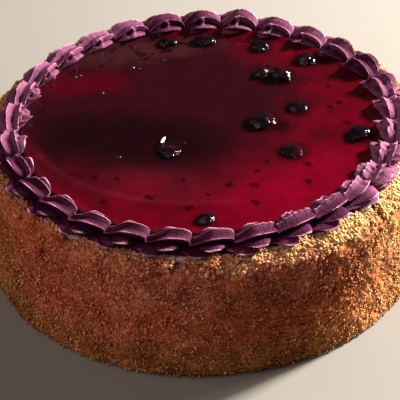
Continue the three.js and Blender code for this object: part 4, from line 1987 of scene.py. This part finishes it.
    def scroll(
        self, azimuth: Array, face: Array, along: Array
    ) -> tuple[Array, Array]:
        """The small scroll on the inner face of the side and back shells.

        Args:
            azimuth: Azimuths in degrees.
            face: Places between the crests.
            along: Shares of the pitch.

        Returns:
            Nearness to the scroll's lip and nearness to its hollow, from 0 to 1.
        """
        sideways = (face - self.upper_face) / self.scroll_width
        away = np.hypot((along - self.scroll_along) / self.scroll_length, sideways)
        inner = self.scrolled.at(azimuth)
        lip = np.exp(-(((away - self.lip_place) / self.lip_width) ** 2))
        return lip * inner, np.exp(-((away / self.hollow_width) ** 2)) * inner

    def relief(self, azimuth: Array, number: Array, along: Array) -> Array:
        """Small forms on the shells: torn crests, teeth, hollows and crumples.

        Args:
            azimuth: Azimuths in degrees.
            number: Each vertex's number in its section.
            along: Shares of the pitch.

        Returns:
            How far each vertex stands out, as a share of the reach.
        """
        face = self.face(number)
        run = np.radians(azimuth) * self.ring_radius
        lane = np.stack([run, number * self.lane_width], axis=1)
        nearness = np.abs(2 * (face - np.floor(face)) - 1)
        toothed = self.toothed.at(azimuth)
        torn = self.rag_least + toothed + self.rag_back * self.torn.at(azimuth)
        torn = torn * self.rags.at(lane) * nearness**self.rag_power
        upper = np.clip(1 - np.abs(face - self.upper_face) / self.upper_width, 0, 1)
        teeth = np.clip(self.teeth.plain(run[:, None]), self.tooth_least, self.tooth_most)
        teeth = self.teeth.height * teeth * toothed * upper
        creased = sum(share * stretch.at(azimuth) for stretch, share in self.creased)
        folds = self.crumple_level - np.abs(self.crumples.plain(lane))
        lip, hollow = self.scroll(azimuth, face, along)
        scrolls = self.scroll_height * (lip - self.hollow_share * hollow)
        return torn + teeth + self.crumples.height * creased * folds + scrolls

    def star(
        self, number: Array, front: Array, roll: Array, rise: Array, relief: Array
    ) -> tuple[Array, Array, Array]:
        """The nozzle's star section.

        Args:
            number: The vertex's number in its section.
            front: How far the star is the front's one there, from 0 to 1.
            roll: How far the star is rolled there, in degrees.
            rise: How far the shell has risen from its neck there, from 0 to 1.
            relief: How far each vertex stands out, as a share of the reach.

        Returns:
            Place across, as a share of the half width, place up, as a share of the height, and nearness
            to a crest.
        """
        face = self.face(number)
        angle = np.interp(face, np.arange(self.faces + 1), self.crests)
        angle += front * (np.interp(face, np.arange(self.faces + 1), self.front_crests) - angle)
        settle = 1 - np.abs(angle - 90) / (90 - self.crests[0])
        turned = np.radians(angle + roll * settle)
        nearness = np.abs(2 * (face - np.floor(face)) - 1)
        between = np.clip(face, 0, self.faces - 0.5).astype(int)
        groove = np.array(self.grooves)[between] + self.top_groove * (1 - front) * (between == self.top_face)
        low = np.clip((np.abs(angle - 90) - self.crown_half) / self.crown_edge, 0, 1)
        cusp = 1 - groove * (1 - nearness**self.cusp_power)
        swell = 1 - groove * (1 - np.sin(QUARTER_TURN * nearness) ** self.swell_power)
        reach = cusp + low * (swell - cusp) - low * self.side_neck * (1 - rise)
        knob = np.sin(QUARTER_TURN * nearness) * rise**self.side_head_power
        reach = reach + self.side_head * low * front * knob * (face < self.side_faces)
        inner = np.clip(face - self.inner_start, 0, self.inner_width) / self.inner_width
        reach = reach - self.inner_fall * front * inner + relief
        across = reach * np.cos(turned)
        up = self.centre_share + reach * (1 - self.centre_share) * np.sin(turned)
        across, up, on_star = self.footed(number, across, up)
        # Crest marks: near 1 a painted highlight, near 0 painted shade; necks fade towards shade, caps of
        # the outer rows get painted highlights
        shallow = np.clip((self.shallow_groove - groove) / self.shallow_span, 0, 1) * self.shallow_crest
        crest = np.maximum(nearness, shallow) * (1 - self.neck_fade * low * (1 - rise))
        crest = crest + self.head_crest * low * front * nearness**2 * rise**self.head_crest_power
        return across, up, np.where(on_star, crest, 0.0)

    def footed(
        self, number: Array, across: Array, up: Array
    ) -> tuple[Array, Array, Array]:
        """Join the star's sides to the flat foot.

        Args:
            number: The vertex's number in its section.
            across: The star's place across there, as a share of the half width.
            up: The star's place up there, as a share of the height.

        Returns:
            The place across and the place up, and whether the vertex is on the star itself.
        """
        foot, side = self.foot_samples, self.side_samples
        first, last = foot + side, self.around_samples - foot - side
        steps = np.where(number < first, number - foot, self.around_samples - foot - number)
        climb = np.where((number >= first) & (number <= last), 1.0, np.clip(steps / side, 0, 1))
        outer = number < self.around_samples / 2
        sideways = np.where(outer, self.foot_share, -self.foot_share)
        flat = np.minimum(number, self.around_samples - number) / foot
        across = np.where(flat < 1, sideways * flat, sideways + climb * (across - sideways))
        return across, np.where(flat < 1, 0.0, climb * up), climb >= 1

    def shape(self, mesh: Mesh) -> None:
        """Move the plain ring's vertices to the shells, and mark their crests and their piped lines; the
        crest marks carry painted highlights and painted shade.

        Args:
            mesh: The plain ring.
        """
        section, number = self.grid_places(mesh_points(mesh))
        places = self.shell_places(section)
        turn, along, azimuth = places.turn, places.along, places.azimuth
        domed, rolled, ribbons = (part.at(azimuth) for part in (self.domes, self.rolled, self.ribbons))
        outer = rolled * np.clip((self.bulb_face - self.face(number)) / self.bulb_edge, 0, 1)
        rise = self.rise(places.phase, domed)
        rise = rise + outer * (self.bulb(along) - rise)
        neck_height = self.neck_height + domed * (self.domed_neck_height - self.neck_height)
        neck_height = neck_height + ribbons * (1 - outer) * (self.ribbon_neck - neck_height)
        neck_width = self.neck_width + domed * (self.domed_neck_width - self.neck_width)
        height, half_width = self.shell_size(azimuth)
        height = height * self.own_size(places) * (neck_height + (1 - neck_height) * rise)
        half_width = half_width * (neck_width + (1 - neck_width) * rise)
        roll = turn * self.crest_roll * (2 * along - 1)
        relief = self.relief(azimuth, number, along)
        across, up, crest = self.star(number, rolled, roll, np.clip(rise, 0, 1), relief)
        level = up * height
        wandered = np.sin(np.radians(self.wander_waves * azimuth) + self.wander_turn)
        centre = self.ring_radius + self.wander * wandered
        radius = centre + across * half_width
        angle = np.radians(azimuth + turn * self.leading(number, azimuth))
        x, y = radius * np.cos(angle), radius * np.sin(angle)
        move_points(mesh, np.stack([x, y, self.base + level], axis=1))
        self.map_lines(mesh, number, (places.shell * self.line_jump + along) * self.pitch)
        crest = self.lit_and_shaded_crest(crest, number, along, azimuth)
        # Painted highlight line along the inner foot of the back-left shells
        smear = np.exp(-(((level - self.foot_highlight_height) / self.foot_highlight_width) ** 2)) * (across < self.foot_highlight_side)
        crest = np.maximum(crest, self.foot_highlight_share * (smear * self.foot_highlighted.at(azimuth)))
        mark_points(mesh, "crest", crest)
        # Painted light on the lit faces at the right and the back
        painted_lit_faces = sum(share * stretch.at(azimuth) for stretch, share in self.painted_lit_faces)
        mark_points(mesh, "painted_lit_mauve", painted_lit_faces)

    def leading(self, number: Array, azimuth: Array) -> Array:
        """Tell how far the crests lead or trail along the run, which tilts the shells.

        Args:
            number: Each vertex's number in its section.
            azimuth: Azimuths in degrees.

        Returns:
            The lead in degrees, which is 0 where the runs meet.
        """
        head_seam = self.tail_seam + self.front_shells * self.pitch
        tails = swell_at(azimuth, self.tail_seam, 2 * self.pitch)
        seam = np.maximum(tails, swell_at(azimuth, head_seam, 3 * self.pitch))
        return np.interp(number, self.crest_numbers(), self.lead) * (1 - seam)

    def lit_and_shaded_crest(
        self, crest: Array, number: Array, along: Array, azimuth: Array
    ) -> Array:
        """Paint highlights on the scrolls' lips and shade in their hollows, and fade the low crests of the
        rolled shells towards painted shade.

        Args:
            crest: Nearness to a crest.
            number: Each vertex's number in its section.
            along: Shares of the pitch.
            azimuth: Azimuths in degrees.

        Returns:
            How far the painted highlight shows, from 0 to about 1; low values give painted shade.
        """
        lip, hollow = self.scroll(azimuth, self.face(number), along)
        crest = crest + (self.lip_crest - crest) * np.clip(self.lip_gain * lip, 0, 1)
        crest = crest * (1 - np.clip(self.hollow_gain * hollow, 0, 1))
        plain = self.rolled.at(azimuth) * (1 - self.ribbons.at(azimuth))
        low = np.clip((self.low_crest - crest) / self.low_crest_edge, 0, 1)
        return crest * (1 - self.low_crest_fade * plain * low)

    def map_lines(self, mesh: Mesh, number: Array, run: Array) -> None:
        """Map the lines that the nozzle drew: fine across a section, long along the run.

        Args:
            mesh: The ring.
            number: Each vertex's number in its section.
            run: Each vertex's place along the piped run, in degrees.
        """
        corner = np.empty(len(mesh.loops), dtype=np.int32)
        mesh.loops.foreach_get("vertex_index", corner)
        across = number[corner].astype(float)
        quads = across.reshape(-1, 4)
        wraps = (quads.max(axis=1, keepdims=True) - quads) > self.around_samples / 2
        across = (quads + wraps * self.around_samples).ravel()
        places = np.stack([across * self.line_across, run[corner] * self.line_along], axis=1)
        mesh.uv_layers.new(name="piping").data.foreach_set("uv", places.astype(np.float32).ravel())

    def build(self) -> None:
        """Make the ring."""
        mesh = self.ring()
        self.shape(mesh)
        place_piece(mesh, PipingFinish().material(), Slot.PIPING, "piped_border")


@dataclass(frozen=True)
class Lamp:
    """A square soft light that looks at the cake.

    It hangs at an azimuth from +x towards +y and an elevation above the floor, in degrees. Its distance
    and its side are in metres, and its power is in watts.
    """

    name: str
    azimuth: float
    elevation: float
    distance: float
    side: float
    power: float
    colour: Triple

    def hang(self) -> None:
        """Put the light in the scene."""
        data = bpy.data.lights.new(self.name, "AREA")
        data.energy = self.power
        data.size = self.side
        data.color = self.colour
        light = bpy.data.objects.new(self.name, data)
        turn, climb = math.radians(self.azimuth), math.radians(self.elevation)
        away = Vector((math.cos(climb) * math.cos(turn), math.cos(climb) * math.sin(turn), math.sin(climb)))
        facing = away.to_track_quat("Z", "Y").to_matrix().to_4x4()
        light.matrix_world = Matrix.Translation(away * self.distance) @ facing
        bpy.context.scene.collection.objects.link(light)


@dataclass
class Studio:
    """A pale floor, soft lights and the camera.

    The camera's distance and aim are in cake radii, its pitch and roll in degrees, and its lens and
    sensor in millimetres.
    """

    cake_radius: float
    lens: float = 180.0
    sensor: float = 36.0
    pitch: float = 36.613
    roll: float = 2.4185
    distance: float = 9.17
    aim_x: float = -0.0217
    aim_z: float = 0.2040
    floor_size: float = 6.0
    floor_colour: Colour = tint(122, 118, 112)
    floor_roughness: float = 0.8
    sky_colour: Colour = (1.0, 0.9, 0.84, 1.0)
    sky_strength: float = 0.05
    lamps: tuple[Lamp, ...] = (
        Lamp("key", azimuth=28, elevation=27, distance=1.4, side=0.2, power=116, colour=(1.0, 0.95, 0.88)),
        Lamp("kicker", azimuth=20, elevation=8, distance=1.5, side=0.25, power=30, colour=(1.0, 0.88, 0.66)),
        Lamp("fill", azimuth=206, elevation=42, distance=2.2, side=2.6, power=34, colour=(1.0, 0.84, 0.78)),
    )

    def camera(self) -> None:
        """Set the camera as the cake is seen from the front, a little above."""
        dip, tip = math.radians(self.pitch), math.radians(self.roll)
        forward = Vector((0, math.cos(dip), -math.sin(dip)))
        right, up = Vector((1, 0, 0)), Vector((0, math.sin(dip), math.cos(dip)))
        side = math.cos(tip) * right - math.sin(tip) * up
        crown = math.sin(tip) * right + math.cos(tip) * up
        aim = Vector((self.aim_x, 0, self.aim_z)) * self.cake_radius
        place = aim - forward * self.distance * self.cake_radius
        data = bpy.data.cameras.new("front_camera")
        data.lens = self.lens
        data.sensor_width = self.sensor
        view = bpy.data.objects.new("front_camera", data)
        turn = Matrix((side, crown, -forward)).transposed().to_4x4()
        view.matrix_world = Matrix.Translation(place) @ turn
        bpy.context.scene.collection.objects.link(view)
        bpy.context.scene.camera = view

    def floor(self) -> None:
        """Lay the floor."""
        shape = bmesh.new()
        bmesh.ops.create_grid(shape, x_segments=1, y_segments=1, size=self.floor_size / 2)
        mesh = finished_mesh("studio_floor", shape)
        sketch = Sketch("pale_floor")
        sketch.set(Base_Color=self.floor_colour, Roughness=self.floor_roughness)
        mesh.materials.append(sketch.material)
        ground = bpy.data.objects.new("studio_floor", mesh)
        bpy.context.scene.collection.objects.link(ground)

    def sky(self) -> None:
        """Light the surroundings dimly."""
        world = bpy.data.worlds.new("studio")
        world.use_nodes = True
        back = next(n for n in world.node_tree.nodes if n.type == "BACKGROUND")
        back.inputs["Color"].default_value = self.sky_colour
        back.inputs["Strength"].default_value = self.sky_strength
        bpy.context.scene.world = world

    def build(self) -> None:
        """Set up floor, lights, surroundings and camera."""
        self.floor()
        for lamp in self.lamps:
            lamp.hang()
        self.sky()
        bpy.context.scene.view_settings.view_transform = "Standard"
        self.camera()
        LOG.info("studio: %d lamps", len(self.lamps))


def frame_berries() -> list[Currant]:
    """Take the berries' places and sizes from their solids.

    Returns:
        The berries, in the order of their numbers.
    """
    names = [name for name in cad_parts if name.startswith("currant_") and name != "currant_jelly"]
    berries = []
    for number in range(1, len(names) + 1):
        low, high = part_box(f"currant_{number}")
        berries.append(Currant(number, (low + high) / 2, high - low))
    return berries


def main() -> None:
    """Build the cake's pieces in order, then the studio."""
    logging.basicConfig(level=logging.INFO, format="%(name)s %(message)s")
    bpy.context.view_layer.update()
    cream_low, cream_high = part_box("cream_layer")
    jelly_low, jelly_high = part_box("currant_jelly")
    ring_low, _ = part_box("piped_border")
    cream_radius = (cream_high.x - cream_low.x) / 2
    berries = frame_berries()
    profile = CoatProfile(top=cream_high.z)
    CrumbCoat(profile, cream_radius, cream_low.z).build()
    JamDribble(profile).build()
    CreamLayer(cream_radius, cream_low.z, cream_high.z).build()
    CurrantJelly(jelly_high.z, jelly_low.z, berries).build()
    PipedRing(ring_low.z).build()
    skin = BerryFinish().material()
    for berry in berries:
        place_piece(berry.mesh(), skin, Slot.BERRY, f"currant_{berry.number}")
    Studio(profile.radius).build()


if __name__ == "__main__":
    main()
